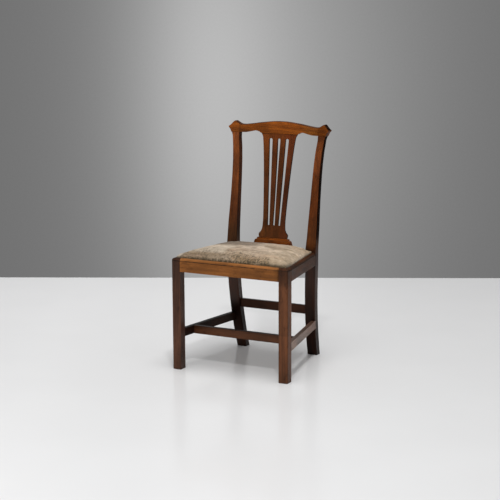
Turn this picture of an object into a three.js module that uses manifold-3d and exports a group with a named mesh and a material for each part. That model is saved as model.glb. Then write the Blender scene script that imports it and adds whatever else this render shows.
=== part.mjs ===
// A square-backed dining side chair with a pierced vase splat, a serpentine crest rail with
// upswept ears, an H stretcher, a high back stretcher and a drop-in upholstered seat.
// Millimetres, +Z up, the front towards -Y. Left and right are as seen from the front.
import * as THREE from 'three';
import { mergeVertices } from 'three/addons/utils/BufferGeometryUtils.js';
import Module from 'manifold-3d';

const wasm = await Module();
wasm.setup();

// Overall sizes
const front_width = 506;
const back_width = 402;
const seat_depth = 376;
const seat_height = 453;
const seat_fall = 8.5;
const crest_height = 956;

// Fits
const glue_gap = 0.3;
const seat_clearance = 0.8;
const overrun = 3;

// Front legs
const leg_width = 38;
const leg_arris_radius = 8;
const leg_corner_radius = 1.5;
const leg_steps = 4;

// Back posts
const post_width = 45;
const post_depth = 34;
const foot_width = 43;
const foot_depth = 32;
const foot_rake = 57;
const foot_inset = 16.5;
const post_top_width = 30;
const post_top_depth = 29;
const post_top_rake = 68.4;
const post_top_splay = 5.8;
const post_flare = 5.8;
const post_flare_height = 19;
const post_block_rise = 4;
const post_corner_radius = 3;
const post_back_radius = 6;
const post_top_back_radius = 9;
const rake_power = 2.1;
const inset_power = 1.1;
const corner_steps = 3;
const leg_height_shares = [0, 0.12, 0.25, 0.4, 0.55, 0.7, 0.85, 1];
// Above the seat block: height, then the rake, splay and taper reached there
const post_shares = [[0, 0, 0, 0], [0.096, 0.091, 0, 0.175], [0.206, 0.192, -0.09, 0.3],
  [0.316, 0.305, -0.36, 0.49], [0.426, 0.418, -0.55, 0.67], [0.536, 0.53, -0.6, 0.765],
  [0.646, 0.639, -0.57, 0.86], [0.757, 0.748, -0.37, 0.915], [0.867, 0.858, 0.2, 0.95],
  [0.958, 0.958, 1, 1], [1, 1, 1, 1]];
// Over the flare's height at the top: how far the outer side has swept out
const post_flare_shares = [[0, 0], [0.3, 0.17], [0.57, 0.47], [0.8, 0.75], [1, 1]];

// Seat rails
const rail_height = 54;
const rail_thickness = 24;
const moulding_width = 13;
const moulding_radius = 11;
const moulding_step = 1.5;
const rebate_depth = 14;
const back_ledge = 10;
const moulding_steps = 5;

// Mortise and tenon joints
const tenon_thickness = 9;
const tenon_length = 22;
const tenon_shoulder = 6;
const short_tenon_length = 15;

// Crest rail
const crest_half_length = 225;
const crest_depth = 49;
const crest_thickness = 32;
const crest_middle_thickness = 26;
const crest_bow = 11;
const crest_edge_radius = 6;
const crest_arris_radius = 1.2;
const crest_edge_share = 0.33;
const crest_arch_rise = 8.9;
const crest_ear_rise = 20;
const crest_tenon_height = 18;
const crest_tenon_width = 14;
const crest_lean_share = 0.152;
const crest_edge_steps = 2;
const crest_top_shares = [[0, 0], [0.102, 0.007], [0.2, 0.042], [0.302, 0.097], [0.404, 0.15],
  [0.502, 0.222], [0.604, 0.291], [0.7, 0.341], [0.764, 0.337], [0.81, 0.264], [0.844, 0.167],
  [0.871, 0.097], [0.893, 0.067], [0.909, 0.097], [0.987, 0.472], [1, 0.513]];
const crest_arch_shares = [[0, 0], [0.02, 0.135], [0.052, 0.315], [0.1, 0.63], [0.152, 0.81],
  [0.205, 0.945], [0.257, 1], [0.341, 0.843], [0.538, 0.37], [0.693, 0.067], [0.845, 0.022],
  [1, 0]];
const crest_ear_shares = [[0, 0], [0.21, 0.335], [0.59, 0.725], [1, 1]];

// Splat
const splat_thickness = 8;
const splat_half_width = 81.5;
const splat_foot_setback = 21;
const splat_top_setback = 1;
const splat_tenon_thickness = 5;
const splat_tenon_height = 16;
const splat_tenon_inset = 12;
// Height, then half width
const splat_edge_shares = [[0, 0.775], [0.019, 0.802], [0.032, 0.805], [0.041, 0.781],
  [0.058, 0.696], [0.082, 0.638], [0.115, 0.618], [0.169, 0.609], [0.258, 0.624], [0.362, 0.65],
  [0.458, 0.679], [0.554, 0.709], [0.649, 0.742], [0.745, 0.779], [0.831, 0.818], [0.898, 0.853],
  [0.937, 0.88], [0.956, 0.892], [0.966, 0.904], [0.976, 0.923], [0.985, 0.947], [0.994, 0.977],
  [1, 1]];
const slot_foot_rise = 51;
const slot_top_drop = 19.6;
const slot_arch_height = 7.4;
const side_slot_spread = 36.6;
const side_slot_foot_spread = 24;
const side_slot_width = 14.6;
const middle_slot_width = 12.4;
// Height up to the arch, then width
const side_slot_shares = [[0, 0.59], [0.08, 0.6], [0.27, 0.67], [0.53, 0.78], [0.79, 0.89],
  [0.92, 0.95], [1, 1]];
const middle_slot_shares = [[0, 0.68], [0.08, 0.67], [0.18, 0.58], [0.3, 0.54], [0.53, 0.59],
  [0.75, 0.67], [0.86, 0.77], [0.95, 0.93], [1, 1]];
// Height in the arch, then width
const slot_arch_shares = [[0.4, 0.94], [0.7, 0.75], [0.9, 0.44], [1, 0]];

// Shoe
const shoe_height = 40;
const shoe_half_length = 96;
const shoe_top_half_length = 70;
const shoe_top_setback = 6;
// Distance in from the foot, then height
const shoe_shares = [[0, 0.1], [0.18, 0.16], [0.34, 0.25], [0.46, 0.37], [0.54, 0.52],
  [0.6, 0.68], [0.68, 0.78], [0.94, 0.84], [1, 0.9], [0.98, 1]];

// Stretchers
const stretcher_thickness = 18;
const stretcher_shoulder = 5;
const stretcher_height = 33;
const stretcher_foot = 122;
const side_stretcher_setback = 1.2;
const cross_stretcher_setback = 119;
const back_stretcher_foot = 180;
const back_stretcher_height = 35.5;
const back_stretcher_thickness = 16;
const stretcher_tenon_thickness = 8;
const stretcher_tenon_length = 14;
const cross_tenon_length = 12;

// Corner blocks
const block_reach = 62;
const block_height = 36;

// Drop-in seat frame
const frame_thickness = 15;
const frame_side_width = 46;
const frame_front_width = 55;
const frame_back_width = 58;
const frame_tenon_length = 28;
const frame_tenon_thickness = 6;
const frame_tenon_shoulder = 10;

// Webbing and hessian
const web_width = 50;
const web_thickness = 1.2;
const web_ramp = 9;
const web_margin = 2;
const web_end_inset = 14;
const web_pitch = 84;
const web_columns = [-1, 0, 1];
const hessian_thickness = 0.8;
const hessian_inset = 22;

// Cushion
const cover_thickness = 1.5;
const cover_turn_under = 26;
const edge_rise = 16;
const edge_radius = 30;
const crown_rise = 18.5;
const across_shares = [0, 0.16, 0.32, 0.48, 0.62, 0.74, 0.84, 0.91, 0.955, 0.985, 1];
const along_shares = [0, 0.01, 0.03, 0.06, 0.12, 0.21, 0.32, 0.44, 0.56, 0.68, 0.79, 0.88,
  0.94, 0.97, 0.99, 1];

// Levels and places that several pieces share
const fall_share = seat_fall / seat_depth;
const ledge_height = seat_height - rebate_depth;
const rail_foot = seat_height - rail_height;
const crest_underside = crest_height - crest_depth;
const leg_inner = front_width / 2 - leg_width;
const post_centre = seat_depth + post_depth / 2;
const post_inner = back_width / 2 - post_width;
const post_back = seat_depth + post_depth;
const post_block_foot = rail_foot - seat_fall - post_block_rise;
const post_block_top = seat_height + post_block_rise;
const shoe_front = seat_depth + back_ledge;
const shoe_top = seat_height + shoe_height - fall_share * shoe_front;
const stretcher_middle = stretcher_foot + stretcher_height / 2;
const cross_stretcher_centre = cross_stretcher_setback + stretcher_thickness / 2;
const splat_foot_front = seat_depth + splat_foot_setback;
const crest_middle_front = post_centre + post_top_rake + crest_bow - crest_middle_thickness / 2;
const splat_top_front = crest_middle_front + splat_top_setback;
const splat_lean_share = (splat_top_front - splat_foot_front) / (crest_underside - shoe_top);
const back_stretcher_middle = back_stretcher_foot + back_stretcher_height / 2;
const frame_foot = ledge_height + cover_thickness + 2 * glue_gap;
const frame_top = frame_foot + frame_thickness;
const web_level = frame_top + glue_gap;
const web_lift = web_thickness + glue_gap;
const hessian_level = web_level + 2 * web_lift;
const stuffing_level = hessian_level + hessian_thickness + glue_gap;
const edge_level = frame_top + glue_gap;
const frame_inset = cover_thickness + glue_gap;

// Materials
const show_wood = new THREE.MeshStandardMaterial({ color: 0x6b3a1c, roughness: 0.42, metalness: 0 });
const dark_wood = new THREE.MeshStandardMaterial({ color: 0x3a241a, roughness: 0.5, metalness: 0 });
const frame_wood = new THREE.MeshStandardMaterial({ color: 0xb08a5a, roughness: 0.8, metalness: 0 });
const velvet = new THREE.MeshStandardMaterial({ color: 0xa9977c, roughness: 0.95, metalness: 0 });
const jute = new THREE.MeshStandardMaterial({ color: 0x9c8358, roughness: 0.95, metalness: 0 });
const horsehair = new THREE.MeshStandardMaterial({ color: 0x54463a, roughness: 1, metalness: 0 });

// Solid from a closed geometry, whichever way its faces were wound
function solid(geometry) {
  const bare = geometry.clone();
  bare.deleteAttribute('normal');
  bare.deleteAttribute('uv');
  const merged = mergeVertices(bare);
  const places = merged.attributes.position.array;
  const corners = Array.from(merged.index.array);
  if (signed_volume(places, corners) < 0) corners.reverse();
  return new wasm.Manifold(new wasm.Mesh({
    numProp: 3,
    vertProperties: new Float32Array(places),
    triVerts: new Uint32Array(corners),
  }));
}

// Six times the volume that a closed triangle mesh encloses
function signed_volume(places, corners) {
  const point = (k) => new THREE.Vector3().fromArray(places, 3 * k);
  let total = 0;
  for (let k = 0; k < corners.length; k += 3) {
    total += point(corners[k]).dot(point(corners[k + 1]).cross(point(corners[k + 2])));
  }
  return total;
}

// Geometry whose points are moved by a rule
function moved(geometry, rule) {
  const places = geometry.attributes.position;
  for (let k = 0; k < places.count; k += 1) {
    const point = rule(new THREE.Vector3().fromBufferAttribute(places, k));
    places.setXYZ(k, point.x, point.y, point.z);
  }
  return geometry;
}

// The seat falls towards the back: every level piece of it is lowered in step with its depth
function fallen(geometry) {
  return moved(geometry, (p) => p.setZ(p.z - fall_share * p.y));
}

// The back leans: a piece is set back in step with its height over a level
function leaned(geometry, level, share) {
  return moved(geometry, (p) => p.setY(p.y + share * (p.z - level)));
}

function block(x_low, x_high, y_low, y_high, z_low, z_high) {
  const shape = new THREE.BoxGeometry(x_high - x_low, y_high - y_low, z_high - z_low);
  return shape.translate((x_low + x_high) / 2, (y_low + y_high) / 2, (z_low + z_high) / 2);
}

// Plan outline raised between two levels
function plate(outline, z_low, z_high) {
  const shape = new THREE.Shape(outline.map(([x, y]) => new THREE.Vector2(x, y)));
  const body = new THREE.ExtrudeGeometry(shape, { depth: z_high - z_low, bevelEnabled: false });
  return body.translate(0, 0, z_low);
}

// Front elevation (x, z) given a thickness in y
function board(shape, y_low, y_high) {
  const options = { depth: y_high - y_low, bevelEnabled: false };
  return new THREE.ExtrudeGeometry(shape, options).rotateX(Math.PI / 2).translate(0, y_high, 0);
}

// Side elevation (y, z) given a length in x
function bar_across(section, x_low, x_high) {
  const rings = [x_low, x_high].map((x) => section.map(([y, z]) => new THREE.Vector3(x, y, z)));
  return loft(rings, (p) => new THREE.Vector2(p.y, p.z));
}

// Triangles over a flat ring, wound along the ring or against it
function cap(ring, flat, along) {
  const outline = ring.map(flat);
  const faces = THREE.ShapeUtils.triangulateShape(outline, []);
  const first = faces[0].map((k) => outline[k]);
  const same_way = THREE.ShapeUtils.area(outline) > 0 === THREE.ShapeUtils.area(first) > 0;
  return faces.map((face) => (same_way === along ? face : [face[2], face[1], face[0]]));
}

// Skin over a row of rings with equal point counts, closed by a cap at each end
function loft(rings, flat) {
  const count = rings[0].length;
  const last = (rings.length - 1) * count;
  const corners = [];
  for (let start = 0; start < last; start += count) {
    for (let k = 0; k < count; k += 1) {
      const a = start + k;
      const b = start + ((k + 1) % count);
      corners.push(a, b, b + count, a, b + count, a + count);
    }
  }
  corners.push(...cap(rings[0], flat, false).flat());
  corners.push(...cap(rings[rings.length - 1], flat, true).flat().map((k) => k + last));
  return new THREE.BufferGeometry().setFromPoints(rings.flat()).setIndex(corners);
}

const seen_from_above = (p) => new THREE.Vector2(p.x, p.y);
const seen_from_side = (p) => new THREE.Vector2(p.y, p.z);
const seen_from_front = (p) => new THREE.Vector2(p.x, p.z);

// Value at a share along a table of [share, value] pairs
function along_table(table, share) {
  const next = Math.max(1, table.findIndex((row) => row[0] >= share));
  const [low, high] = [table[next - 1], table[next]];
  return low[1] + ((high[1] - low[1]) * (share - low[0])) / (high[0] - low[0]);
}

// Rectangle with four rounded corners, from the low-x low-y one round: low, right, far, left
function rounded_rectangle(x_low, x_high, y_low, y_high, radii, steps) {
  const turns = [[x_low, y_low, 1, 1], [x_high, y_low, -1, 1],
    [x_high, y_high, -1, -1], [x_low, y_high, 1, -1]];
  return turns.flatMap(([x, y, right, up], corner) => {
    const radius = radii[corner];
    return Array.from({ length: steps + 1 }, (_, k) => {
      const angle = (Math.PI / 2) * (corner + 2 + k / steps);
      return [x + radius * (right + Math.cos(angle)), y + radius * (up + Math.sin(angle))];
    });
  });
}

const mix = (low, high, share) => low + (high - low) * share;

// The back post's section at a height
function post_section(z) {
  if (z < post_block_foot) {
    const down = 1 - z / post_block_foot;
    const rake = down ** rake_power;
    return {
      outer: back_width / 2 - foot_inset * down ** inset_power,
      centre: post_centre + foot_rake * rake,
      width: mix(post_width, foot_width, rake),
      depth: mix(post_depth, foot_depth, rake),
      back_radius: mix(post_back_radius, post_corner_radius, down),
    };
  }
  const up = Math.max(0, (z - post_block_top) / (crest_underside - post_block_top));
  const reached = (column) => along_table(post_shares.map((row) => [row[0], row[column]]), up);
  const flared = Math.max(0, 1 - (crest_underside - z) / post_flare_height);
  const flare = post_flare * along_table(post_flare_shares, flared);
  return {
    outer: back_width / 2 + post_top_splay * reached(2) + flare,
    centre: post_centre + post_top_rake * reached(1),
    width: mix(post_width, post_top_width, reached(3)) + flare,
    depth: mix(post_depth, post_top_depth, reached(3)),
    back_radius: mix(post_back_radius, post_top_back_radius, up),
  };
}

// Heights at which the back post's section is drawn
function post_heights() {
  const leg = leg_height_shares.map((share) => share * post_block_foot);
  const back = post_shares.slice(0, -1).map(([up]) => mix(post_block_top, crest_underside, up));
  const flare = post_flare_shares.slice(1).map(([up]) => crest_underside - post_flare_height * (1 - up));
  return [...leg, ...back, ...flare];
}

// Right back post without its joints, swollen by a gap where it trims its neighbours
function post_blank(gap) {
  const rings = post_heights().map((z) => {
    const { outer, centre, width, depth, back_radius } = post_section(z);
    const radii = [post_corner_radius, post_corner_radius, back_radius, post_corner_radius];
    const [front, back] = around(centre, depth + 2 * gap);
    const [inner, outside] = [outer - width - gap, outer + gap];
    const outline = rounded_rectangle(inner, outside, front, back, radii, corner_steps);
    const level = z === crest_underside ? z - glue_gap : z;
    return outline.map(([x, y]) => new THREE.Vector3(x, y, level));
  });
  return solid(loft(rings, seen_from_above));
}

const post_top = post_section(crest_underside);
const post_low = post_section(stretcher_middle);
const post_middle = post_section(back_stretcher_middle);

// Outer face of the seat rails and of the front legs' sides
function outer_side(y) {
  const share = Math.max(0, (y - leg_width) / (seat_depth - leg_width));
  return mix(front_width, back_width, share) / 2;
}

const inner_side = (y) => outer_side(y) - rail_thickness;

// Quarter round of the moulded top edge, as [distance in from the face, height]
function moulding_arc() {
  return Array.from({ length: moulding_steps + 1 }, (_, k) => {
    const angle = (Math.PI / 2) * (k / moulding_steps);
    return [
      moulding_step + moulding_radius * (1 - Math.cos(angle)),
      seat_height - moulding_radius * (1 - Math.sin(angle)),
    ];
  });
}

// Section of a moulded and rebated seat rail, as [distance in from the face, height]
function rail_section() {
  return [[0, rail_foot], [0, seat_height - moulding_radius], ...moulding_arc(),
    [moulding_width, seat_height], [moulding_width, ledge_height],
    [rail_thickness, ledge_height], [rail_thickness, rail_foot]];
}

// What the moulding leaves away from a square edge
function moulding_waste() {
  const above = seat_height + overrun;
  return [[-overrun, seat_height - moulding_radius], ...moulding_arc(),
    [moulding_step + moulding_radius, above], [-overrun, above]];
}

// Box with a gap all round: nothing for a tenon, the fit for its mortise
function box_with_gap([x_low, x_high], [y_low, y_high], [z_low, z_high], gap) {
  return block(x_low - gap, x_high + gap, y_low - gap, y_high + gap, z_low - gap, z_high + gap);
}

const around = (centre, width) => [centre - width / 2, centre + width / 2];

// Tenons of the right-hand joints. With a gap each gives the mortise that takes it.
const rail_tenon_heights = [rail_foot + tenon_shoulder, ledge_height - tenon_shoulder];

function front_rail_tenon(gap) {
  const reach = [leg_inner - overrun, leg_inner + tenon_length];
  const across = around(rail_thickness / 2, tenon_thickness);
  return fallen(box_with_gap(reach, across, rail_tenon_heights, gap));
}

function side_rail_front_tenon(gap) {
  const across = around(outer_side(leg_width) - rail_thickness / 2, tenon_thickness);
  const reach = [leg_width - short_tenon_length, leg_width + overrun];
  return fallen(box_with_gap(across, reach, rail_tenon_heights, gap));
}

function side_rail_back_tenon(gap) {
  const across = around(outer_side(seat_depth) - rail_thickness / 2, tenon_thickness);
  const reach = [seat_depth - overrun, seat_depth + tenon_length];
  return fallen(box_with_gap(across, reach, rail_tenon_heights, gap));
}

function back_rail_tenon(gap) {
  const reach = [post_inner - overrun, post_inner + short_tenon_length];
  const across = around(post_centre, tenon_thickness);
  return fallen(box_with_gap(reach, across, rail_tenon_heights, gap));
}

const stretcher_tenon_heights = around(stretcher_middle, stretcher_height - 2 * stretcher_shoulder);

function side_stretcher_front_tenon(gap) {
  const centre = side_stretcher_line(leg_width) - stretcher_thickness / 2;
  const across = around(centre, stretcher_tenon_thickness);
  const reach = [leg_width - stretcher_tenon_length, leg_width + overrun];
  return box_with_gap(across, reach, stretcher_tenon_heights, gap);
}

function side_stretcher_back_tenon(gap) {
  const face = post_low.centre - post_low.depth / 2;
  const centre = side_stretcher_line(face) - stretcher_thickness / 2;
  const across = around(centre, stretcher_tenon_thickness);
  const reach = [face - stretcher_thickness / 2, face + stretcher_tenon_length];
  return box_with_gap(across, reach, stretcher_tenon_heights, gap);
}

function cross_stretcher_tenon(gap) {
  const face = side_stretcher_line(cross_stretcher_centre) - stretcher_thickness;
  const reach = [face - stretcher_thickness / 2, face + cross_tenon_length];
  const across = around(cross_stretcher_centre, stretcher_tenon_thickness);
  return box_with_gap(reach, across, stretcher_tenon_heights, gap);
}

function back_stretcher_tenon(gap) {
  const face = post_middle.outer - post_middle.width;
  const reach = [face - stretcher_thickness / 2, face + stretcher_tenon_length];
  const across = around(post_middle.centre, stretcher_tenon_thickness);
  const heights = around(back_stretcher_middle, back_stretcher_height - 2 * stretcher_shoulder);
  return box_with_gap(reach, across, heights, gap);
}

function post_top_tenon(gap) {
  const across = around(post_top.outer - post_top.width / 2, crest_tenon_width);
  const along = around(post_top.centre, tenon_thickness);
  const heights = [crest_underside - overrun, crest_underside + crest_tenon_height];
  return leaned(box_with_gap(across, along, heights, gap), crest_underside, crest_lean_share);
}

function splat_top_tenon(gap) {
  const half = splat_half_width - splat_tenon_inset;
  const along = around(splat_top_front + splat_thickness / 2, splat_tenon_thickness);
  const heights = [crest_underside - overrun, crest_underside + splat_tenon_height];
  const tenon = box_with_gap([-half, half], along, heights, gap);
  return leaned(tenon, crest_underside, splat_lean_share);
}

function splat_foot_tenon(gap) {
  const half = splat_half_width * splat_edge_shares[0][1] - splat_tenon_inset;
  const along = around(splat_foot_front + splat_thickness / 2, splat_tenon_thickness);
  const heights = [shoe_top - splat_tenon_height, shoe_top + overrun];
  return leaned(box_with_gap([-half, half], along, heights, gap), shoe_top, splat_lean_share);
}

// Outer face of the right side stretcher
function side_stretcher_line(y) {
  const share = (y - leg_width) / (post_low.centre - leg_width);
  return mix(front_width / 2, post_low.outer, share) - side_stretcher_setback;
}

// The same piece on the other side of the chair
function mirrored(geometry) {
  return geometry.clone().scale(-1, 1, 1);
}

const on_both_sides = (geometry) => [solid(geometry), solid(mirrored(geometry))];

// Body with tenons joined on and mortises cut out
function jointed(body, tenons, mortises) {
  const joined = tenons.reduce((whole, tenon) => whole.add(tenon), body);
  return mortises.reduce((whole, mortise) => whole.subtract(mortise), joined);
}

function front_leg() {
  const [low, high] = [leg_inner, front_width / 2];
  const radii = [leg_corner_radius, leg_arris_radius, leg_corner_radius, leg_corner_radius];
  const outline = rounded_rectangle(low, high, 0, leg_width, radii, leg_steps);
  const blank = solid(plate(outline, 0, seat_height + overrun));
  const edge = moulding_waste();
  const across = [low - overrun, high + overrun];
  const front_waste = bar_across(edge, ...across);
  const side_rings = [-overrun, leg_width + overrun].map((y) => (
    edge.map(([inward, z]) => new THREE.Vector3(high - inward, y, z))));
  const side_waste = loft(side_rings, seen_from_front);
  const above = seat_height + 2 * overrun;
  const top_waste = block(...across, -overrun, leg_width + overrun, seat_height, above);
  const corner = [low - overrun, high - moulding_width, moulding_width, leg_width + overrun];
  const seat_notch = block(...corner, ledge_height, above);
  const waste = [front_waste, side_waste, top_waste, seat_notch].map((shape) => solid(fallen(shape)));
  const mortises = [front_rail_tenon(glue_gap), side_rail_front_tenon(glue_gap),
    side_stretcher_front_tenon(glue_gap)].map(solid);
  return jointed(blank, [], [...waste, ...mortises]);
}

function back_post() {
  const mortises = [side_rail_back_tenon(glue_gap), back_rail_tenon(glue_gap),
    side_stretcher_back_tenon(glue_gap), back_stretcher_tenon(glue_gap)].map(solid);
  return jointed(post_blank(0), [solid(post_top_tenon(0))], mortises);
}

function front_rail() {
  const shoulder = leg_inner - glue_gap;
  const body = solid(fallen(bar_across(rail_section(), -shoulder, shoulder)));
  return jointed(body, on_both_sides(front_rail_tenon(0)), []);
}

function side_rail() {
  const rings = [leg_width + glue_gap, seat_depth - glue_gap].map((y) => (
    rail_section().map(([inward, z]) => new THREE.Vector3(outer_side(y) - inward, y, z))));
  const body = solid(fallen(loft(rings, seen_from_front)));
  return jointed(body, [solid(side_rail_front_tenon(0)), solid(side_rail_back_tenon(0))], []);
}

function back_rail() {
  const section = [[seat_depth, rail_foot], [seat_depth, ledge_height], [shoe_front, ledge_height],
    [shoe_front, seat_height], [post_back, seat_height], [post_back, rail_foot]];
  const shoulder = post_inner - glue_gap;
  const body = solid(fallen(bar_across(section, -shoulder, shoulder)));
  return jointed(body, on_both_sides(back_rail_tenon(0)), []);
}

// Places along the crest rail from its middle: [distance out, underside height, top height]
function crest_places() {
  const ear = crest_half_length - post_top.outer;
  const arch = post_top.outer - post_top.width - splat_half_width;
  const undersides = [
    [0, 0],
    ...crest_arch_shares.map(([out, rise]) => (
      [splat_half_width + out * arch, rise * crest_arch_rise])),
    ...crest_ear_shares.map(([out, rise]) => [post_top.outer + out * ear, rise * crest_ear_rise]),
  ];
  const tops = crest_top_shares.map(([out, drop]) => [out * crest_half_length, drop * crest_depth]);
  const places = [...undersides, ...tops].map(([out]) => out).sort((a, b) => a - b);
  const apart = places.filter((out, k) => k === 0 || out - places[k - 1] > glue_gap);
  return apart.map((out) => [
    out,
    crest_underside + along_table(undersides, out),
    crest_height - along_table(tops, out),
  ]);
}

// The crest rail's centre line at its underside: it bows back in its middle
function crest_centre(x) {
  const seat = post_top.outer - post_top.width / 2;
  return post_top.centre + crest_bow * (1 - (x / seat) ** 2);
}

function crest_ring([x, z_low, z_high]) {
  const thickness = mix(crest_middle_thickness, crest_thickness, Math.abs(x) / crest_half_length);
  const [front, back] = around(crest_centre(x), thickness);
  const radius = Math.min(crest_edge_radius, crest_edge_share * (z_high - z_low));
  const small = Math.min(crest_arris_radius, radius);
  const radii = [small, small, radius, radius];
  const outline = rounded_rectangle(front, back, z_low, z_high, radii, crest_edge_steps);
  return outline.map(([y, z]) => (
    new THREE.Vector3(x, y + crest_lean_share * (z - crest_underside), z)));
}

function crest_rail() {
  const right = crest_places();
  const left = right.slice(1).reverse().map(([x, low, high]) => [-x, low, high]);
  const rings = [...left, ...right].map(crest_ring);
  const mortises = [...on_both_sides(post_top_tenon(glue_gap)), solid(splat_top_tenon(glue_gap))];
  return jointed(solid(loft(rings, seen_from_side)), [], mortises);
}

// Cutter of a slot with a round top
function slot(foot_x, top_x, width, width_shares) {
  const foot = shoe_top + slot_foot_rise;
  const point = crest_underside - slot_top_drop;
  const spring = point - slot_arch_height;
  const sides = width_shares.map(([up, wide]) => [mix(foot_x, top_x, up), wide, mix(foot, spring, up)]);
  const arch = slot_arch_shares.map(([up, wide]) => [top_x, wide, mix(spring, point, up)]);
  const rows = [...sides, ...arch];
  const right = rows.map(([x, wide, z]) => new THREE.Vector2(x + wide * width / 2, z));
  const left = rows.slice(0, -1).map(([x, wide, z]) => new THREE.Vector2(x - wide * width / 2, z));
  return splat_board(new THREE.Shape([...right, ...left.reverse()]), overrun);
}

// Elevation given the splat's thickness and lean
function splat_board(shape, extra) {
  const front = splat_foot_front - extra;
  const back = splat_foot_front + splat_thickness + extra;
  return solid(leaned(board(shape, front, back), shoe_top, splat_lean_share));
}

function splat() {
  const [low, high] = [shoe_top + glue_gap, crest_underside - glue_gap];
  const edge = splat_edge_shares.map(([up, wide]) => [splat_half_width * wide, mix(low, high, up)]);
  const other_edge = edge.map(([x, z]) => [-x, z]).reverse();
  const shape = new THREE.Shape([...edge, ...other_edge].map(([x, z]) => new THREE.Vector2(x, z)));
  const slots = [
    slot(-side_slot_foot_spread, -side_slot_spread, side_slot_width, side_slot_shares),
    slot(0, 0, middle_slot_width, middle_slot_shares),
    slot(side_slot_foot_spread, side_slot_spread, side_slot_width, side_slot_shares),
  ];
  const tenons = [solid(splat_top_tenon(0)), solid(splat_foot_tenon(0))];
  return jointed(splat_board(shape, 0), tenons, slots);
}

// Shoe with a moulding round its front and ends
function shoe() {
  const levels = [[0, seat_height + glue_gap],
    ...shoe_shares.map(([inward, up]) => [inward, seat_height + shoe_height * up])];
  const rings = levels.map(([inward, z]) => {
    const half = mix(shoe_half_length, shoe_top_half_length, inward);
    const front = shoe_front + shoe_top_setback * inward;
    const outline = [[-half, front], [half, front], [half, post_back], [-half, post_back]];
    return outline.map(([x, y]) => new THREE.Vector3(x, y, z));
  });
  const body = solid(fallen(loft(rings, seen_from_above)));
  return jointed(body, [], [solid(splat_foot_tenon(glue_gap))]);
}

// Right side stretcher's plan, swollen by a gap where it trims the cross stretcher
function side_stretcher_plan(gap) {
  const [front, back] = [leg_width + glue_gap, post_low.centre];
  const outer = (y) => side_stretcher_line(y) + gap;
  const inner = (y) => side_stretcher_line(y) - stretcher_thickness - gap;
  return [[inner(front), front], [outer(front), front], [outer(back), back], [inner(back), back]];
}

function side_stretcher() {
  const bar = solid(plate(side_stretcher_plan(0), stretcher_foot, stretcher_foot + stretcher_height));
  const body = bar.subtract(post_blank(glue_gap));
  const tenons = [solid(side_stretcher_front_tenon(0)), solid(side_stretcher_back_tenon(0))];
  return jointed(body, tenons, [solid(cross_stretcher_tenon(glue_gap))]);
}

function cross_stretcher() {
  const half = side_stretcher_line(cross_stretcher_centre) - stretcher_thickness / 2;
  const [front, back] = around(cross_stretcher_centre, stretcher_thickness);
  const top = stretcher_foot + stretcher_height;
  const bar = solid(block(-half, half, front, back, stretcher_foot, top));
  const neighbour = plate(side_stretcher_plan(glue_gap), stretcher_foot - overrun, top + overrun);
  const body = jointed(bar, [], on_both_sides(neighbour));
  return jointed(body, on_both_sides(cross_stretcher_tenon(0)), []);
}

function back_stretcher() {
  const half = post_middle.outer - post_middle.width / 2;
  const [front, back] = around(post_middle.centre, back_stretcher_thickness);
  const heights = [back_stretcher_foot, back_stretcher_foot + back_stretcher_height];
  const bar = solid(block(-half, half, front, back, ...heights));
  const post = as_geometry(post_blank(glue_gap));
  const body = jointed(bar, [], on_both_sides(post));
  return jointed(body, on_both_sides(back_stretcher_tenon(0)), []);
}

function corner_block(outline) {
  return solid(fallen(plate(outline, ledge_height - block_height, ledge_height)));
}

// Glue block behind a front leg, notched round the leg
function front_corner_block() {
  const front = rail_thickness + glue_gap;
  const back = rail_thickness + block_reach;
  const side = (y) => inner_side(y) - glue_gap;
  const block_plan = [[side(front) - block_reach, front], [side(front), front],
    [side(leg_width), leg_width], [side(back), back]];
  const leg = box_with_gap([leg_inner, front_width / 2], [0, leg_width], [0, seat_height], glue_gap);
  return corner_block(block_plan).subtract(solid(leg));
}

function back_corner_block() {
  const back = seat_depth - glue_gap;
  const front = seat_depth - block_reach;
  const side = (y) => inner_side(y) - glue_gap;
  return corner_block([[side(back) - block_reach, back], [side(front), front], [side(back), back]]);
}

// Plan of the drop-in seat, inset from the moulding and notched round the back posts
const seat_side = (y, inset) => outer_side(y) - moulding_width - seat_clearance - inset;
const seat_front = (inset) => moulding_width + seat_clearance + inset;
const seat_back = (inset) => shoe_front - seat_clearance - inset;
const notch_front = (inset) => seat_depth - seat_clearance - inset;
const notch_side = (inset) => post_inner - seat_clearance - inset;

// Inner edge of the seat frame's side members
function frame_inner(y) {
  const [front, back] = [seat_front(frame_inset), notch_front(frame_inset)];
  const share = (y - front) / (back - front);
  return mix(seat_side(front, frame_inset), seat_side(back, frame_inset), share) - frame_side_width;
}

const frame_tenon_heights = around(mix(frame_foot, frame_top, 1 / 2), frame_tenon_thickness);

function frame_front_tenon(gap) {
  const front = seat_front(frame_inset);
  const face = frame_inner(front + frame_front_width / 2);
  const along = around(front + frame_front_width / 2, frame_front_width - 2 * frame_tenon_shoulder);
  const across = around(face, 2 * frame_tenon_length);
  return fallen(box_with_gap(across, along, frame_tenon_heights, gap));
}

function frame_back_tenon(gap) {
  const back = notch_front(frame_inset);
  const face = frame_inner(back - frame_back_width / 2);
  const along = around(back - frame_back_width / 2, frame_back_width - 2 * frame_tenon_shoulder);
  const across = around(face, 2 * frame_tenon_length);
  return fallen(box_with_gap(across, along, frame_tenon_heights, gap));
}

function seat_frame_side() {
  const [front, back] = [seat_front(frame_inset), notch_front(frame_inset)];
  const outline = [[frame_inner(front), front], [seat_side(front, frame_inset), front],
    [seat_side(leg_width, frame_inset), leg_width], [seat_side(back, frame_inset), back],
    [frame_inner(back), back]];
  const body = solid(fallen(plate(outline, frame_foot, frame_top)));
  return jointed(body, [], [solid(frame_front_tenon(glue_gap)), solid(frame_back_tenon(glue_gap))]);
}

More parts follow.
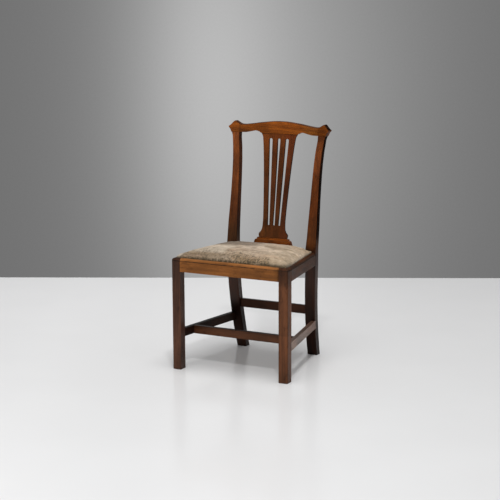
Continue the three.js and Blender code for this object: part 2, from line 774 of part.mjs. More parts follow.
function seat_frame_front() {
  const [front, back] = [seat_front(frame_inset), seat_front(frame_inset) + frame_front_width];
  const [wide, narrow] = [frame_inner(front) - glue_gap, frame_inner(back) - glue_gap];
  const outline = [[-wide, front], [wide, front], [narrow, back], [-narrow, back]];
  const body = solid(fallen(plate(outline, frame_foot, frame_top)));
  return jointed(body, on_both_sides(frame_front_tenon(0)), []);
}

function seat_frame_back() {
  const shoulder = notch_front(frame_inset) + glue_gap;
  const [front, back] = [notch_front(frame_inset) - frame_back_width, seat_back(frame_inset)];
  const right = [[frame_inner(front) - glue_gap, front], [frame_inner(shoulder) - glue_gap, shoulder],
    [notch_side(frame_inset), shoulder], [notch_side(frame_inset), back]];
  const left = right.map(([x, y]) => [-x, y]).reverse();
  const body = solid(fallen(plate([...right, ...left], frame_foot, frame_top)));
  return jointed(body, on_both_sides(frame_back_tenon(0)), []);
}

// Side view of a strip of webbing that rises over some of the strips it crosses
function web_line(start, end, crossings, rises_at) {
  const half = web_width / 2 + web_margin;
  const line = [[start, 0]];
  crossings.forEach((place, k) => {
    if (!rises_at(k)) return;
    line.push([place - half - web_ramp, 0], [place - half, web_lift]);
    line.push([place + half, web_lift], [place + half + web_ramp, 0]);
  });
  line.push([end, 0]);
  const under = line.map(([place, lift]) => [place, web_level + lift]);
  const over = under.map(([place, z]) => [place, z + web_thickness]).reverse();
  return [...under, ...over];
}

const web_rows = web_columns.map((row) => mix(seat_front(0), seat_back(0), 1 / 2) + row * web_pitch);

// Webbing from front to back, in one of the columns
function long_web(column) {
  const ends = [seat_front(frame_inset) + web_end_inset, seat_back(frame_inset) - web_end_inset];
  const section = web_line(...ends, web_rows, (row) => (row + column) % 2 === 0);
  const [low, high] = around(web_columns[column] * web_pitch, web_width);
  return solid(fallen(bar_across(section, low, high)));
}

// Webbing from side to side, in one of the rows
function cross_web(row) {
  const end = seat_side(web_rows[row] + web_width / 2, frame_inset) - web_end_inset;
  const columns = web_columns.map((column) => column * web_pitch);
  const section = web_line(-end, end, columns, (column) => (row + column) % 2 === 1);
  const shape = new THREE.Shape(section.map(([x, z]) => new THREE.Vector2(x, z)));
  const [front, back] = around(web_rows[row], web_width);
  return solid(fallen(board(shape, front, back)));
}

function hessian() {
  const inset = frame_inset + hessian_inset;
  const [front, back] = [seat_front(inset), notch_front(inset)];
  const [wide, narrow] = [seat_side(front, inset), seat_side(back, inset)];
  const outline = [[-wide, front], [wide, front], [narrow, back], [-narrow, back]];
  return solid(fallen(plate(outline, hessian_level, hessian_level + hessian_thickness)));
}

// Height of the cushion's surface: rounded at its edges and crowned over its middle
function cushion_height(x, y, inset) {
  const [side, front, back] = [seat_side(y, inset), seat_front(inset), seat_back(inset)];
  const swell = (inward) => {
    const short = Math.max(0, 1 - Math.max(0, inward) / (edge_radius - inset));
    return Math.sqrt(1 - short ** 2);
  };
  const edge = swell(side - Math.abs(x)) * swell(Math.min(y - front, back - y));
  const across = x / side;
  const along = (2 * y - front - back) / (back - front);
  return edge_level + (edge_rise - inset) * edge + crown_rise * (1 - across ** 2) * (1 - along ** 2);
}

// Numbers of the points round the rim of a grid, in turn from its first one
function grid_rim(wide, deep) {
  const [last_column, last_row] = [wide - 1, deep - 1];
  const across = Array.from({ length: last_column }, (_, k) => k);
  const along = Array.from({ length: last_row }, (_, k) => k * wide);
  return [
    ...across,
    ...along.map((k) => k + last_column),
    ...across.map((k) => last_row * wide + last_column - k),
    ...along.map((k) => last_row * wide - k),
  ];
}

// Solid under the cushion's surface, inset and brought down to a level
function cushion(inset, foot) {
  const columns = [...across_shares.slice(1).map((share) => -share).reverse(), ...across_shares];
  const rows = along_shares.map((share) => mix(seat_front(inset), seat_back(inset), share));
  const points = rows.flatMap((y) => columns.map((share) => {
    const x = share * seat_side(y, inset);
    return new THREE.Vector3(x, y, cushion_height(x, y, inset));
  }));
  const wide = columns.length;
  const corners = [];
  for (let row = 0; row + 1 < rows.length; row += 1) {
    for (let column = 0; column + 1 < wide; column += 1) {
      const a = row * wide + column;
      corners.push(a, a + 1, a + wide + 1, a, a + wide + 1, a + wide);
    }
  }
  const rim = grid_rim(wide, rows.length);
  const rim_foot = points.length;
  rim.forEach((k) => points.push(new THREE.Vector3(points[k].x, points[k].y, foot)));
  const middle = points.length;
  points.push(new THREE.Vector3(0, mix(seat_front(inset), seat_back(inset), 1 / 2), foot));
  rim.forEach((top, k) => {
    const next = (k + 1) % rim.length;
    corners.push(top, rim_foot + k, rim_foot + next, top, rim_foot + next, rim[next]);
    corners.push(middle, rim_foot + next, rim_foot + k);
  });
  const body = solid(fallen(new THREE.BufferGeometry().setFromPoints(points).setIndex(corners)));
  const notch = block(notch_side(inset), front_width, notch_front(inset), post_back, 0, crest_height);
  return jointed(body, [], on_both_sides(notch));
}

function stuffing() {
  const below = block(-front_width, front_width, -overrun, post_back, 0, stuffing_level);
  return cushion(frame_inset, frame_foot).subtract(solid(fallen(below)));
}

// Cover pulled over the stuffing, down the frame's edges and turned under them
function seat_cover() {
  const foot = ledge_height + glue_gap;
  const inside = cushion(cover_thickness, foot + cover_thickness);
  const [front, back] = [seat_front(cover_turn_under), notch_front(cover_turn_under)];
  const [wide, narrow] = [seat_side(front, cover_turn_under), seat_side(back, cover_turn_under)];
  const outline = [[-wide, front], [wide, front], [narrow, back], [-narrow, back]];
  const opening = fallen(plate(outline, foot - overrun, frame_foot));
  return jointed(cushion(0, foot), [], [inside, solid(opening)]);
}

// Geometry of a finished solid
function as_geometry(body) {
  const { vertProperties, triVerts } = body.getMesh();
  const geometry = new THREE.BufferGeometry();
  geometry.setAttribute('position', new THREE.Float32BufferAttribute(Array.from(vertProperties), 3));
  return geometry.setIndex(Array.from(triVerts));
}

const chair = new THREE.Group();

function add_piece(name, body, material) {
  const piece = new THREE.Mesh(as_geometry(body), material);
  piece.geometry.computeVertexNormals();
  piece.name = name;
  chair.add(piece);
}

// Piece made for the right side, and its mirror image for the left
function add_pair(name, body, material) {
  add_piece(`${name}_right`, body, material);
  add_piece(`${name}_left`, solid(mirrored(as_geometry(body))), material);
}

add_pair('front_leg', front_leg(), show_wood);
add_pair('back_post', back_post(), show_wood);
add_piece('front_rail', front_rail(), show_wood);
add_pair('side_rail', side_rail(), show_wood);
add_piece('back_rail', back_rail(), show_wood);
add_piece('crest_rail', crest_rail(), show_wood);
add_piece('splat', splat(), show_wood);
add_piece('shoe', shoe(), show_wood);
add_pair('side_stretcher', side_stretcher(), dark_wood);
add_piece('cross_stretcher', cross_stretcher(), dark_wood);
add_piece('back_stretcher', back_stretcher(), dark_wood);
add_pair('front_corner_block', front_corner_block(), frame_wood);
add_pair('back_corner_block', back_corner_block(), frame_wood);
add_pair('seat_frame_side', seat_frame_side(), frame_wood);
add_piece('seat_frame_front', seat_frame_front(), frame_wood);
add_piece('seat_frame_back', seat_frame_back(), frame_wood);
web_columns.forEach((_, k) => {
  add_piece(`long_webbing_${k + 1}`, long_web(k), jute);
  add_piece(`cross_webbing_${k + 1}`, cross_web(k), jute);
});
add_piece('hessian', hessian(), jute);
add_piece('stuffing', stuffing(), horsehair);
add_piece('seat_cover', seat_cover(), velvet);

// The origin is on the floor, under the middle of the chair's box
const box = new THREE.Box3().setFromObject(chair);
const middle = box.getCenter(new THREE.Vector3());
chair.children.forEach((piece) => piece.position.set(-middle.x, -middle.y, 0));

export default chair;
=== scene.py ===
import math
import random

import bmesh
import bpy
import numpy as np
from mathutils import Matrix, Vector


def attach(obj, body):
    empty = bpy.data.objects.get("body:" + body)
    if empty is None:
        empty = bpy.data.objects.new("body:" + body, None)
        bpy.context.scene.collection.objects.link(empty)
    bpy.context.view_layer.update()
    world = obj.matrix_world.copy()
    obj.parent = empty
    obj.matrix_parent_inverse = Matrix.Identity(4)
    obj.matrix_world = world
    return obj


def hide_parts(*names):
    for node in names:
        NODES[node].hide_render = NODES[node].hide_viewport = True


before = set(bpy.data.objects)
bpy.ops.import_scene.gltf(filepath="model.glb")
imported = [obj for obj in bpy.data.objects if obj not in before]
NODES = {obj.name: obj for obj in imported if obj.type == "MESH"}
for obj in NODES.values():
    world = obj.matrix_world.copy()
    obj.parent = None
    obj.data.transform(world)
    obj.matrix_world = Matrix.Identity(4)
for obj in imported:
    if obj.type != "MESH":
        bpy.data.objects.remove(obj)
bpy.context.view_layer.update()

SCENE = bpy.context.scene
UP = Vector((0, 0, 1))

# Camera, fitted to the edges of the chair in the photograph
IMAGE_SIZE = 500
SENSOR_WIDTH = 36
FOCAL_PIXELS = 1439.5
CAMERA_PLACE = Vector((2.5160, -5.0765, 1.5810))
AZIMUTH, ELEVATION, ROLL = (math.radians(a) for a in (26.623, 11.1785, -0.211))

# The seat's sizes, as the frame's source has them, with Y from the front legs' front face
CHAIR_MIDDLE = 0.24602
FRONT_WIDTH, BACK_WIDTH, SEAT_DEPTH, LEG = 0.506, 0.402, 0.376, 0.038
SEAT_FALL, MOULDING, CLEARANCE = 0.0085, 0.013, 0.0008
SEAT_BACK, POST_INNER = 0.386, 0.156
LEDGE, GAP, COVER = 0.439, 0.0003, 0.0015
MOULDING_STEP = 0.442
FRAME_TOP = LEDGE + COVER + 2 * GAP + 0.015
FALL_SHARE = SEAT_FALL / SEAT_DEPTH

# Webbing: strips, how they slope over each other, their frayed edges and the gap at their ends
WEB_WIDTH, WEB_THICKNESS, WEB_PITCH = 0.050, 0.0012, 0.084
WEB_LEVEL = FRAME_TOP + GAP
WEB_LIFT = WEB_THICKNESS + GAP
WEB_SLOPE = (0.0015, 0.011)
WEB_DROOP, WEB_CLEARANCE, WEB_END = 0.00012, 0.00015, 0.014
WEB_FRAY, FRAY_WAVES, SELVEDGE = 0.00035, 900, 0.001
WEB_STATIONS, WEB_ACROSS = 121, 13
WEB_THREADS, WEB_STRIPES = 520, 0.017

# Hessian: its place and sag, with the seed and length of the sag's waves
HESSIAN_LEVEL = WEB_LEVEL + 2 * WEB_LIFT
HESSIAN_INSET, HESSIAN_THICKNESS = 0.0238, 0.0006
HESSIAN_LIFT, HESSIAN_WAVE = 0.00022, (21, 0.05)
HESSIAN_COLUMNS, HESSIAN_ROWS = 61, 49
HESSIAN_THREADS = 480

# Cushion: its domed top, the plan's rounded corners, and the rings of its sides and turned-under hem
EDGE_RISE, EDGE_RADIUS, CROWN_RISE = 0.0165, 0.034, 0.0185
FRONT_ROUND, BACK_ROUND, ROUND_LOSS = 0.009, 0.005, (0.006, 0.004)
NOTCH_EASE = 0.007
COLUMNS, ROWS, CROWDING = 149, 117, 0.45
COVER_THICKNESS = 0.0012
SIDE_RINGS = (0.2, 0.45, 0.7)
HEM_RINGS = ((0.0, 0.0016), (0.0005, 0.0005), (0.0016, 0.0), (0.006, 0.0), (0.012, 0.0), (0.018, 0.0),
             (0.026, 0.0))

# Cloth simulation of the cover: heights over which its pins let go, and the furthest it may move
PIN_RISES = (0.001, 0.008)
SETTLE_FRAMES, SETTLE_PRESSURE, SETTLE_MOST = 16, 2.2, 0.005
TENSION_STIFFNESS, BENDING_STIFFNESS, CLOTH_QUALITY = 25, 1.2, 6
TINY = 1e-9

# Smooth unevenness: number of waves, spread of their lengths, range of their starts and summed height
WAVE_COUNT, WAVE_SPREAD, WAVE_START, WAVE_PEAK = 7, (0.75, 1.6), 6.3, 4.5

# Lumps: height, seed and wave length, faded in from the edge. Dips: middle, half widths and depth
LUMPS, LUMP_EDGE = ((0.0011, 5, 0.13), (0.0005, 9, 0.045)), (0.002, 0.05)
DIPS = (((-0.02, 0.19), (0.13, 0.1), 0.0035), ((0.02, 0.34), (0.13, 0.05), 0.0032))

# Pull marks in a band along the edges
PULL_HEIGHT, PULL_PLACE, PULL_WIDTH, PULL_START = 0.0006, 0.013, 0.009, 0.6
PULL_STEPS = (0.037, 0.041)
EDGE_TIE = 1e-6

# Pleats at the corners: right and rear, angles in degrees, reach, width and depth
PLEATS = (((1, 1), (186, 202, 219, 238, 255), 0.15, 0.0056, 0.0036),
          ((-1, 1), (-8, -27, -46, -64), 0.085, 0.0052, 0.0017),
          ((1, -1), (118, 140, 163), 0.05, 0.004, 0.0013),
          ((-1, -1), (12, 27, 44, 62), 0.10, 0.0052, 0.0030))
PLEAT_INSET, PLEAT_REAR_INSET, PLEAT_LOSS = 0.003, 0.002, 0.18
FOLD_WIDTHS, FOLD_START, FOLD_FADE = (0.55, 0.6), 0.012, 0.35

# Tacks: rows under the frame, stray either way, and each head's rings as radius and drop
TACK_INSET, TACK_STEP, TACK_SLACK = 0.0195, 0.029, 0.0001
TACK_FRONT_HALF, TACK_REAR_HALF, TACK_SIDE_ROW = 0.145, 0.087, (0.112, 0.30)
TACK_STRAY_X, TACK_STRAY_Y = 0.0015, 0.0012
TACK_SIDES = 12
TACK_RINGS = ((0.0031, 0.0), (0.0029, 0.00035), (0.0021, 0.0008), (0.001, 0.00105))
TACK_SEED = 3

# Arrises of the wood, and how flat facets are merged before they are rounded
ARRIS, BARE_ARRIS = 0.0009, 0.0012
MERGE_DISTANCE, FLAT_ANGLE, ARRIS_ANGLE = 1e-5, math.radians(0.15), math.radians(38)
NORMAL_WEIGHT = 60

# Room: the wall's foot as a line in the picture, its brightest point there, and the stage's reach
WALL_LINE = ((0.0, 277.4), (500.0, 278.2))
WALL_GLOW = (228.0, 95.0)
STAGE_HALF, WALL_FOOT, WALL_TOP, FLOOR_FRONT, FLOOR_REAR = 14, -0.002, 9, -22, 14
# Glows on the wall: shift and spread in pixels, and strength. They fade upward over a height in pixels
WALL_GLOWS = ((36, 165, 0.182), (-22, 75, 0.125))
GLOW_RISE, WALL_TONE, DISPLAY_POWER = 320, 0.435, 2.2
# Floor: its tone, the band near the wall, and where its right and left sides begin, in pixels
FLOOR_TONE, NEAR_WALL = 0.80, 1.3
FLOOR_RIGHT, FLOOR_LEFT = (0, 200), (-20, -160)

# World light on the chair, and the world as seen. Lamps: azimuth and elevation in degrees, distance,
# disc size and watts
WORLD_LIGHT, WORLD_SEEN = (0.40, 0.40, 0.405), (0.22, 0.22, 0.22)
LIT_PLACE = Vector((0, 0, 0.4))
LAMPS = {"key": (30, 60, 5.2, 0.4, 60), "overhead": (30, 81.5, 5.2, 2.8, 143),
         "fill": (2, 18, 4.0, 3.2, 30)}


def mix(low, high, share):
    return low + (high - low) * share


def smooth(value, low, high):
    share = np.clip((value - low) / (high - low), 0, 1)
    return share * share * (3 - 2 * share)


def toward(azimuth, elevation):
    """Direction from the chair, with azimuth 0 at the front."""
    level = math.cos(elevation)
    return Vector((math.sin(azimuth) * level, -math.cos(azimuth) * level, math.sin(elevation)))


# ---- camera ----

def camera_turn():
    back = toward(AZIMUTH, ELEVATION)
    right = UP.cross(back).normalized()
    return Matrix((right, back.cross(right), back)).transposed() @ Matrix.Rotation(ROLL, 3, "Z")


CAMERA_TURN = camera_turn()


def make_camera():
    data = bpy.data.cameras.new("camera")
    data.sensor_width = SENSOR_WIDTH
    data.lens = FOCAL_PIXELS * SENSOR_WIDTH / IMAGE_SIZE
    camera = bpy.data.objects.new("camera", data)
    SCENE.collection.objects.link(camera)
    camera.matrix_world = Matrix.Translation(CAMERA_PLACE) @ CAMERA_TURN.to_4x4()
    SCENE.camera = camera


def ray_through(u, v):
    """Direction from the camera through a point of the picture."""
    half = IMAGE_SIZE / 2
    return CAMERA_TURN @ Vector((u - half, half - v, -FOCAL_PIXELS)).normalized()


def floor_point(u, v):
    ray = ray_through(u, v)
    return CAMERA_PLACE - ray * (CAMERA_PLACE.z / ray.z)


def new_object(name, vertices, faces):
    mesh = bpy.data.meshes.new(name)
    mesh.from_pydata([tuple(v) for v in vertices], [], faces)
    mesh.update()
    made = bpy.data.objects.new(name, mesh)
    SCENE.collection.objects.link(made)
    return made


# ---- node helpers ----

def node(tree, kind, inputs=None, **settings):
    """New shader node. A socket given as an input is linked, and a value is set."""
    made = tree.nodes.new("ShaderNode" + kind)
    for key, value in settings.items():
        setattr(made, key, value)
    for key, value in (inputs or {}).items():
        if isinstance(value, bpy.types.NodeSocket):
            tree.links.new(value, made.inputs[key])
        else:
            made.inputs[key].default_value = value
    return made


def calc(tree, operation, a, b=0.0, c=0.0):
    return node(tree, "Math", {0: a, 1: b, 2: c}, operation=operation).outputs[0]


def times(tree, a, b):
    return calc(tree, "MULTIPLY", a, b)


def weighted(tree, *terms):
    """Sum of values, each times its weight."""
    total = 0.0
    for value, weight in terms:
        total = calc(tree, "MULTIPLY_ADD", value, weight, total)
    return total


def ramp(tree, value, low, high, to_low=0.0, to_high=1.0):
    inputs = {"Value": value, "From Min": low, "From Max": high, "To Min": to_low, "To Max": to_high}
    return node(tree, "MapRange", inputs, interpolation_type="SMOOTHSTEP").outputs[0]


def blend(tree, share, a, b, kind="MIX"):
    """Mix of two colours, each a socket or a tuple of three shares."""
    made = node(tree, "Mix", data_type="RGBA", blend_type=kind)
    for socket, value in ((made.inputs[0], share), (made.inputs[6], a), (made.inputs[7], b)):
        if isinstance(value, bpy.types.NodeSocket):
            tree.links.new(value, socket)
        else:
            socket.default_value = rgba(value) if isinstance(value, tuple) else value
    return made.outputs[2]


def tinted(tree, colour, tint):
    return blend(tree, 1.0, colour, tint, "MULTIPLY")


def scaled(tree, vector, scale, offset=(0, 0, 0)):
    made = node(tree, "Mapping", {"Vector": vector, "Scale": scale, "Location": offset})
    return made.outputs[0]


def noise(tree, vector, scale, detail=2.0, roughness=0.5, distortion=0.0):
    inputs = {"Vector": vector, "Scale": scale, "Detail": detail, "Roughness": roughness,
              "Distortion": distortion}
    return node(tree, "TexNoise", inputs).outputs[0]


def pattern(tree, place, scale, detail=2.0, roughness=0.5, distortion=0.0, offset=(0, 0, 0)):
    """Noise with a scale of its own along each axis."""
    return noise(tree, scaled(tree, place, scale, offset), 1.0, detail, roughness, distortion)


def object_place(tree):
    return node(tree, "TexCoord").outputs["Object"]


def split(tree, vector):
    """The three parts of a vector, by axis."""
    return dict(node(tree, "SeparateXYZ", {"Vector": vector}).outputs.items())


def seat_level(tree, parts):
    """Height, measured along the seat's fall to the back."""
    return calc(tree, "MULTIPLY_ADD", calc(tree, "ADD", parts["Y"], CHAIR_MIDDLE), FALL_SHARE, parts["Z"])


def openness(tree, distance):
    """One in the open, and less in corners up to a distance wide."""
    return node(tree, "AmbientOcclusion", {"Distance": distance}, samples=6).outputs["AO"]


def region(tree, parts, *limits):
    """Share of a region: each limit holds a part, where the region begins in it and where it is full."""
    share = 1.0
    for part, *ramp_values in limits:
        share = times(tree, share, ramp(tree, parts[part], *ramp_values))
    return share


def rgba(colour):
    return (*colour, 1.0)


def new_material(name):
    material = bpy.data.materials.new(name)
    material.use_nodes = True
    material.node_tree.nodes.clear()
    return material, material.node_tree


def skin(tree, colour, roughness, relief, others=None):
    """The surface's shader. The relief is its height, its strength and its depth in metres."""
    height, strength, depth = relief
    bump = node(tree, "Bump", {"Height": height, "Strength": strength, "Distance": depth})
    inputs = {"Base Color": colour, "Roughness": roughness, "Normal": bump.outputs[0], **(others or {})}
    shader = node(tree, "BsdfPrincipled", inputs)
    node(tree, "OutputMaterial", {"Surface": shader.outputs[0]})


# ---- polished wood ----

WOOD_SOCKETS = {"INPUT": {"Place": "Vector", "Pale": "Color", "Deep": "Color", "Wear": "Float",
                          "Stain": "Float"},
                "OUTPUT": {"Color": "Color", "Roughness": "Float", "Height": "Float"}}
# Noises: scale along each axis (X is along the grain), detail, roughness and distortion
SWAY_NOISE, SWAY_WIDTH = ((2.4, 9, 9), 2.0), 0.03
GRAIN_NOISE = {"figure": ((1.1, 46, 46), 3.0, 0.55, 0.4), "lines": ((4, 300, 300), 2.0, 0.6),
               "fibre": ((22, 1500, 1500), 1.0), "pores": ((70, 2300, 2300), 0.0)}
SURFACE_NOISE = {"cloud": ((5, 11, 11), 3.0), "stains": ((16, 30, 30), 4.0, 0.62),
                 "patches": ((18, 60, 60), 3.0), "dents": ((60, 90, 90), 2.0)}
QUIRK_NOISE = ((45, 45, 60), 3.0, 0.6)
# Painted shadow line in the step under the seat's moulding
QUIRK_WIDTH, QUIRK_SHADOW = (0.0026, 0.0007), (0.014, 0.008, 0.005)
STAIN_TINT, WORN_TINT, WORN_RADIUS = (0.42, 0.4, 0.45), (1.7, 1.6, 1.45), 0.0022
PORE_DARK, PORE_SHARE = (0.012, 0.007, 0.005), 0.45
# Darkening in corners found by occlusion: dirt together with painted shade
DIRT_AND_SHADE_DARK, DIRT_AND_SHADE_SHARE, DIRT_AND_SHADE_WIDTH = (0.012, 0.008, 0.006), 0.72, 0.022
# Where a face counts as turned to an axis, and heights at which the parts above and below the seat begin
FACES_IT, ABOVE_SEAT, BELOW_SEAT = (0.3, 0.8), (0.44, 0.52), (0.47, 0.42)
# Each piece is cut from another place in the wood
OFFSETS = (-5, 5)


def wood_group():
    """Figure, grain lines, pores, stains, dirt and painted shade in the corners, and worn edges of
    polished wood.
    """
    tree = bpy.data.node_groups.new("polished_wood", "ShaderNodeTree")
    for side, sockets in WOOD_SOCKETS.items():
        for name, kind in sockets.items():
            tree.interface.new_socket(name=name, in_out=side, socket_type="NodeSocket" + kind)
    given = tree.nodes.new("NodeGroupInput").outputs
    sway = calc(tree, "SUBTRACT", pattern(tree, given["Place"], *SWAY_NOISE), 0.5)
    sway = times(tree, sway, SWAY_WIDTH)
    shift = node(tree, "CombineXYZ", {"Y": sway, "Z": sway}).outputs[0]
    swayed = node(tree, "VectorMath", {0: given["Place"], 1: shift}, operation="ADD").outputs[0]
    grain = {name: pattern(tree, swayed, *values) for name, values in GRAIN_NOISE.items()}
    slow = {name: pattern(tree, given["Place"], *values) for name, values in SURFACE_NOISE.items()}
    pores = ramp(tree, grain["pores"], 0.6, 0.74)
    figure = weighted(tree, (grain["figure"], 1.15), (grain["lines"], 0.55), (grain["fibre"], 0.25))
    colour = blend(tree, ramp(tree, figure, 0.66, 1.28), given["Deep"], given["Pale"])
    # Slow changes of tone, and darker stains where polish has built up
    colour = tinted(tree, colour, ramp(tree, slow["cloud"], 0.3, 0.7, 0.74, 1.2))
    stains = times(tree, ramp(tree, slow["stains"], 0.53, 0.7), given["Stain"])
    colour = blend(tree, stains, colour, tinted(tree, given["Deep"], STAIN_TINT))
    colour = blend(tree, times(tree, pores, PORE_SHARE), colour, PORE_DARK)
    # Edges rubbed pale, and dirt with painted shade where two pieces meet
    flat = node(tree, "NewGeometry").outputs["Normal"]
    rounded = node(tree, "Bevel", {"Radius": WORN_RADIUS}, samples=4).outputs[0]
    likeness = node(tree, "VectorMath", {0: flat, 1: rounded}, operation="DOT_PRODUCT").outputs["Value"]
    edges = times(tree, ramp(tree, likeness, 0.995, 0.86), ramp(tree, slow["patches"], 0.38, 0.62))
    edges = times(tree, edges, given["Wear"])
    colour = blend(tree, edges, colour, tinted(tree, given["Pale"], WORN_TINT))
    dirt_and_shade = ramp(tree, openness(tree, DIRT_AND_SHADE_WIDTH), 0.72, 0.3)
    colour = blend(tree, times(tree, dirt_and_shade, DIRT_AND_SHADE_SHARE), colour, DIRT_AND_SHADE_DARK)
    dull = ramp(tree, slow["cloud"], 0.3, 0.75, 0.28, 0.44)
    rough = weighted(tree, (dull, 1.0), (dirt_and_shade, 0.25), (pores, 0.12))
    height = weighted(tree, (grain["fibre"], 0.25), (pores, -0.9), (slow["dents"], 0.8))
    result = tree.nodes.new("NodeGroupOutput").inputs
    for name, socket in (("Color", colour), ("Roughness", rough), ("Height", height)):
        tree.links.new(socket, result[name])
    return tree


WOOD = wood_group()
# Which way the grain runs: the turn that brings it onto X
GRAIN = {"x": (0, 0, 0), "y": (0, 0, -math.pi / 2), "z": (0, math.pi / 2, 0)}


def tone_share(tree, place, tones):
    """Share of the wood's colour by place: each table holds an axis, then places and tones there."""
    def share(tone):
        return tone if isinstance(tone, tuple) else (tone,) * 3
    parts = split(tree, place)
    total = node(tree, "RGB").outputs[0]
    total.default_value = rgba(share(1.0))
    for axis, table in tones:
        tint = share(table[0][1])
        for (low, _), (high, tone) in zip(table, table[1:]):
            tint = blend(tree, ramp(tree, parts[axis], low, high), tint, share(tone))
        total = tinted(tree, total, tint)
    return total


def painted_face_shade(tree, place, right, top):
    """Share of painted shade on right faces above the seat, and of dull dark polish with painted shade on
    tops.
    """
    facing = split(tree, node(tree, "TexCoord").outputs["Normal"])
    above_seat = ramp(tree, split(tree, place)["Z"], *ABOVE_SEAT)
    side = times(tree, ramp(tree, facing["X"], *FACES_IT), above_seat)
    above = times(tree, ramp(tree, facing["Z"], *FACES_IT), top)
    return calc(tree, "MULTIPLY_ADD", side, right, above)


def quirk_shadow(tree, colour, place):
    """Painted shadow in the step under the seat's moulded edge, as a broken dark line."""
    away = calc(tree, "SUBTRACT", seat_level(tree, split(tree, place)), MOULDING_STEP)
    broken = ramp(tree, pattern(tree, place, *QUIRK_NOISE), 0.3, 0.6, 0.25, 0.85)
    share = times(tree, ramp(tree, calc(tree, "ABSOLUTE", away), *QUIRK_WIDTH), broken)
    return blend(tree, share, colour, QUIRK_SHADOW)


def wood(name, grain, pale, deep, wear, stain, tones, face_shades, shine, seed):
    """Polished wood for one piece. Tones go by place; right faces and tops get painted shade, tops with
    dark polish.
    """
    material, tree = new_material(name)
    place = object_place(tree)
    pick = random.Random(seed)
    offset = tuple(pick.uniform(*OFFSETS) for _ in range(3))
    turned = node(tree, "Mapping", {"Vector": place, "Rotation": GRAIN[grain], "Location": offset})
    made = node(tree, "Group", node_tree=WOOD)
    tree.links.new(turned.outputs[0], made.inputs["Place"])
    for key, value in (("Pale", rgba(pale)), ("Deep", rgba(deep)), ("Wear", wear), ("Stain", stain)):
        made.inputs[key].default_value = value
    # Painted shade on right faces and tops darkens the colour and dulls the highlight
    shade_factor = calc(tree, "SUBTRACT", 1.0, painted_face_shade(tree, place, *face_shades))
    tint = tone_share(tree, place, tones)
    colour = tinted(tree, tinted(tree, made.outputs["Color"], tint), shade_factor)
    colour = quirk_shadow(tree, colour, place)
    (level, high_tint), (low_level, low_tint) = shine
    below = ramp(tree, split(tree, place)["Z"], *BELOW_SEAT)
    # A highlight that is the same all over is a plain value of the shader
    if tones or any(face_shades):
        level = times(tree, shade_factor, ramp(tree, below, 0.0, 1.0, level, low_level))
        level = times(tree, level, ramp(tree, tint, 0.0, 0.3))
    same = high_tint == low_tint
    shine_tint = rgba(high_tint) if same else blend(tree, below, high_tint, low_tint)
    skin(tree, colour, made.outputs["Roughness"], (made.outputs["Height"], 0.3, 0.0004),
         {"Specular IOR Level": level, "Specular Tint": shine_tint})
    return material


# ---- materials of the seat ----

BEECH_NOISE = {"lines": ((3, 170, 170), 3.0, 0.6), "flecks": ((150, 900, 900), 1.0),
               "cloud": ((7, 12, 12), 3.0)}
BEECH_DEEP, BEECH_PALE = (0.30, 0.185, 0.085), (0.50, 0.345, 0.18)
BEECH_FLECKS, BEECH_DIRT_AND_SHADE = (0.16, 0.085, 0.04), (0.06, 0.04, 0.025)

# Noises of the cover: scale along each axis, detail, roughness, distortion and offset
VELVET_NOISE = {"streaks": ((15, 42, 40), 6.0, 0.72, 0.5),
                "patches": ((8, 13, 12), 5.0, 0.66, 0.8, (3.1, 0.4, 0.0)),
                "specks": ((165, 62, 220), 3.0, 0.6, 0.0, (0.3, 0.8, 0.0)),
                "mottle": ((75, 38, 90), 4.0, 0.66),
                "rosy": ((11, 30, 20), 3.0, 0.5, 0.0, (0.7, 2.0, 0.0)),
                "fibres": ((900, 1300, 900), 2.0)}
STREAK_DEEP, STREAK_PALE = (0.29, 0.215, 0.15), (0.70, 0.56, 0.425)
PILE, PILE_SHARE, TUFTS = (0.200, 0.122, 0.050), 0.66, (0.07, 0.052, 0.032)
ROSY, SHEEN, PALE_GROUND_LIT = (0.60, 0.40, 0.27), (0.86, 0.8, 0.7), (0.62, 0.55, 0.47)
# Painted shade low on the front edge and where the seat meets the rails
FRONT_EDGE_SHADE, RAIL_CONTACT_SHADE = (0.055, 0.040, 0.022), (0.06, 0.045, 0.03)
WORN_LIT_CORNER = (-0.237, -0.212, 0.462)

# Regions of the cover, each with its limits: a part, where the region begins in it and where it is full
LEFT_FRONT = (("X", -0.02, -0.13), ("Y", -0.13, -0.2, 0.25, 1.0))
# Where pile is kept: weight, then limits
KEPT_REGIONS = ((0.6, ("Y", -0.09, -0.19)), (0.12, *LEFT_FRONT), (0.36, ("Y", 0.03, 0.15)),
                (-0.2, ("X", 0.02, 0.2)))
# Rear right corner, front left and right side of the rubbed ground: share, colour, then limits
RUBBED_REGIONS = ((1.0, (0.23, 0.155, 0.095), ("X", 0.14, 0.19), ("Y", -0.02, 0.1)),
                  (0.72, (0.29, 0.215, 0.138), *LEFT_FRONT),
                  (0.4, (0.42, 0.32, 0.20), ("X", 0.05, 0.18)))
# Pale pile on the left to the front's bend, dark pile and painted shade on the bend, painted shade behind
# the crown
PILE_AND_SHADE_REGIONS = ((0.45, (0.62, 0.54, 0.43), ("X", -0.03, -0.07), ("Y", -0.205, -0.185),
                 ("Y", -0.06, -0.09)),
                (0.42, (0.17, 0.125, 0.08), ("X", 0.01, -0.03), ("Y", -0.198, -0.212)),
                (0.95, (0.17, 0.128, 0.092), ("Y", -0.085, -0.035), ("X", 0.06, -0.02)))

# Yarn: pale and deep colours, noises, the dark of stripes, and painted shade in the gaps
JUTE, HESSIAN_YARN = ((0.40, 0.29, 0.155), (0.20, 0.13, 0.06)), ((0.36, 0.25, 0.13), (0.17, 0.11, 0.05))
FUZZ_NOISE = ((500, 500, 500), 3.0, 0.7)
SLUB_SCALES = {"x": (9, 120, 60), "y": (120, 9, 60)}
STRIPE, THREAD_GAP_SHADE = (0.10, 0.03, 0.02), (0.05, 0.035, 0.02)

BLUED, RUST = (0.045, 0.045, 0.05), (0.12, 0.06, 0.03)


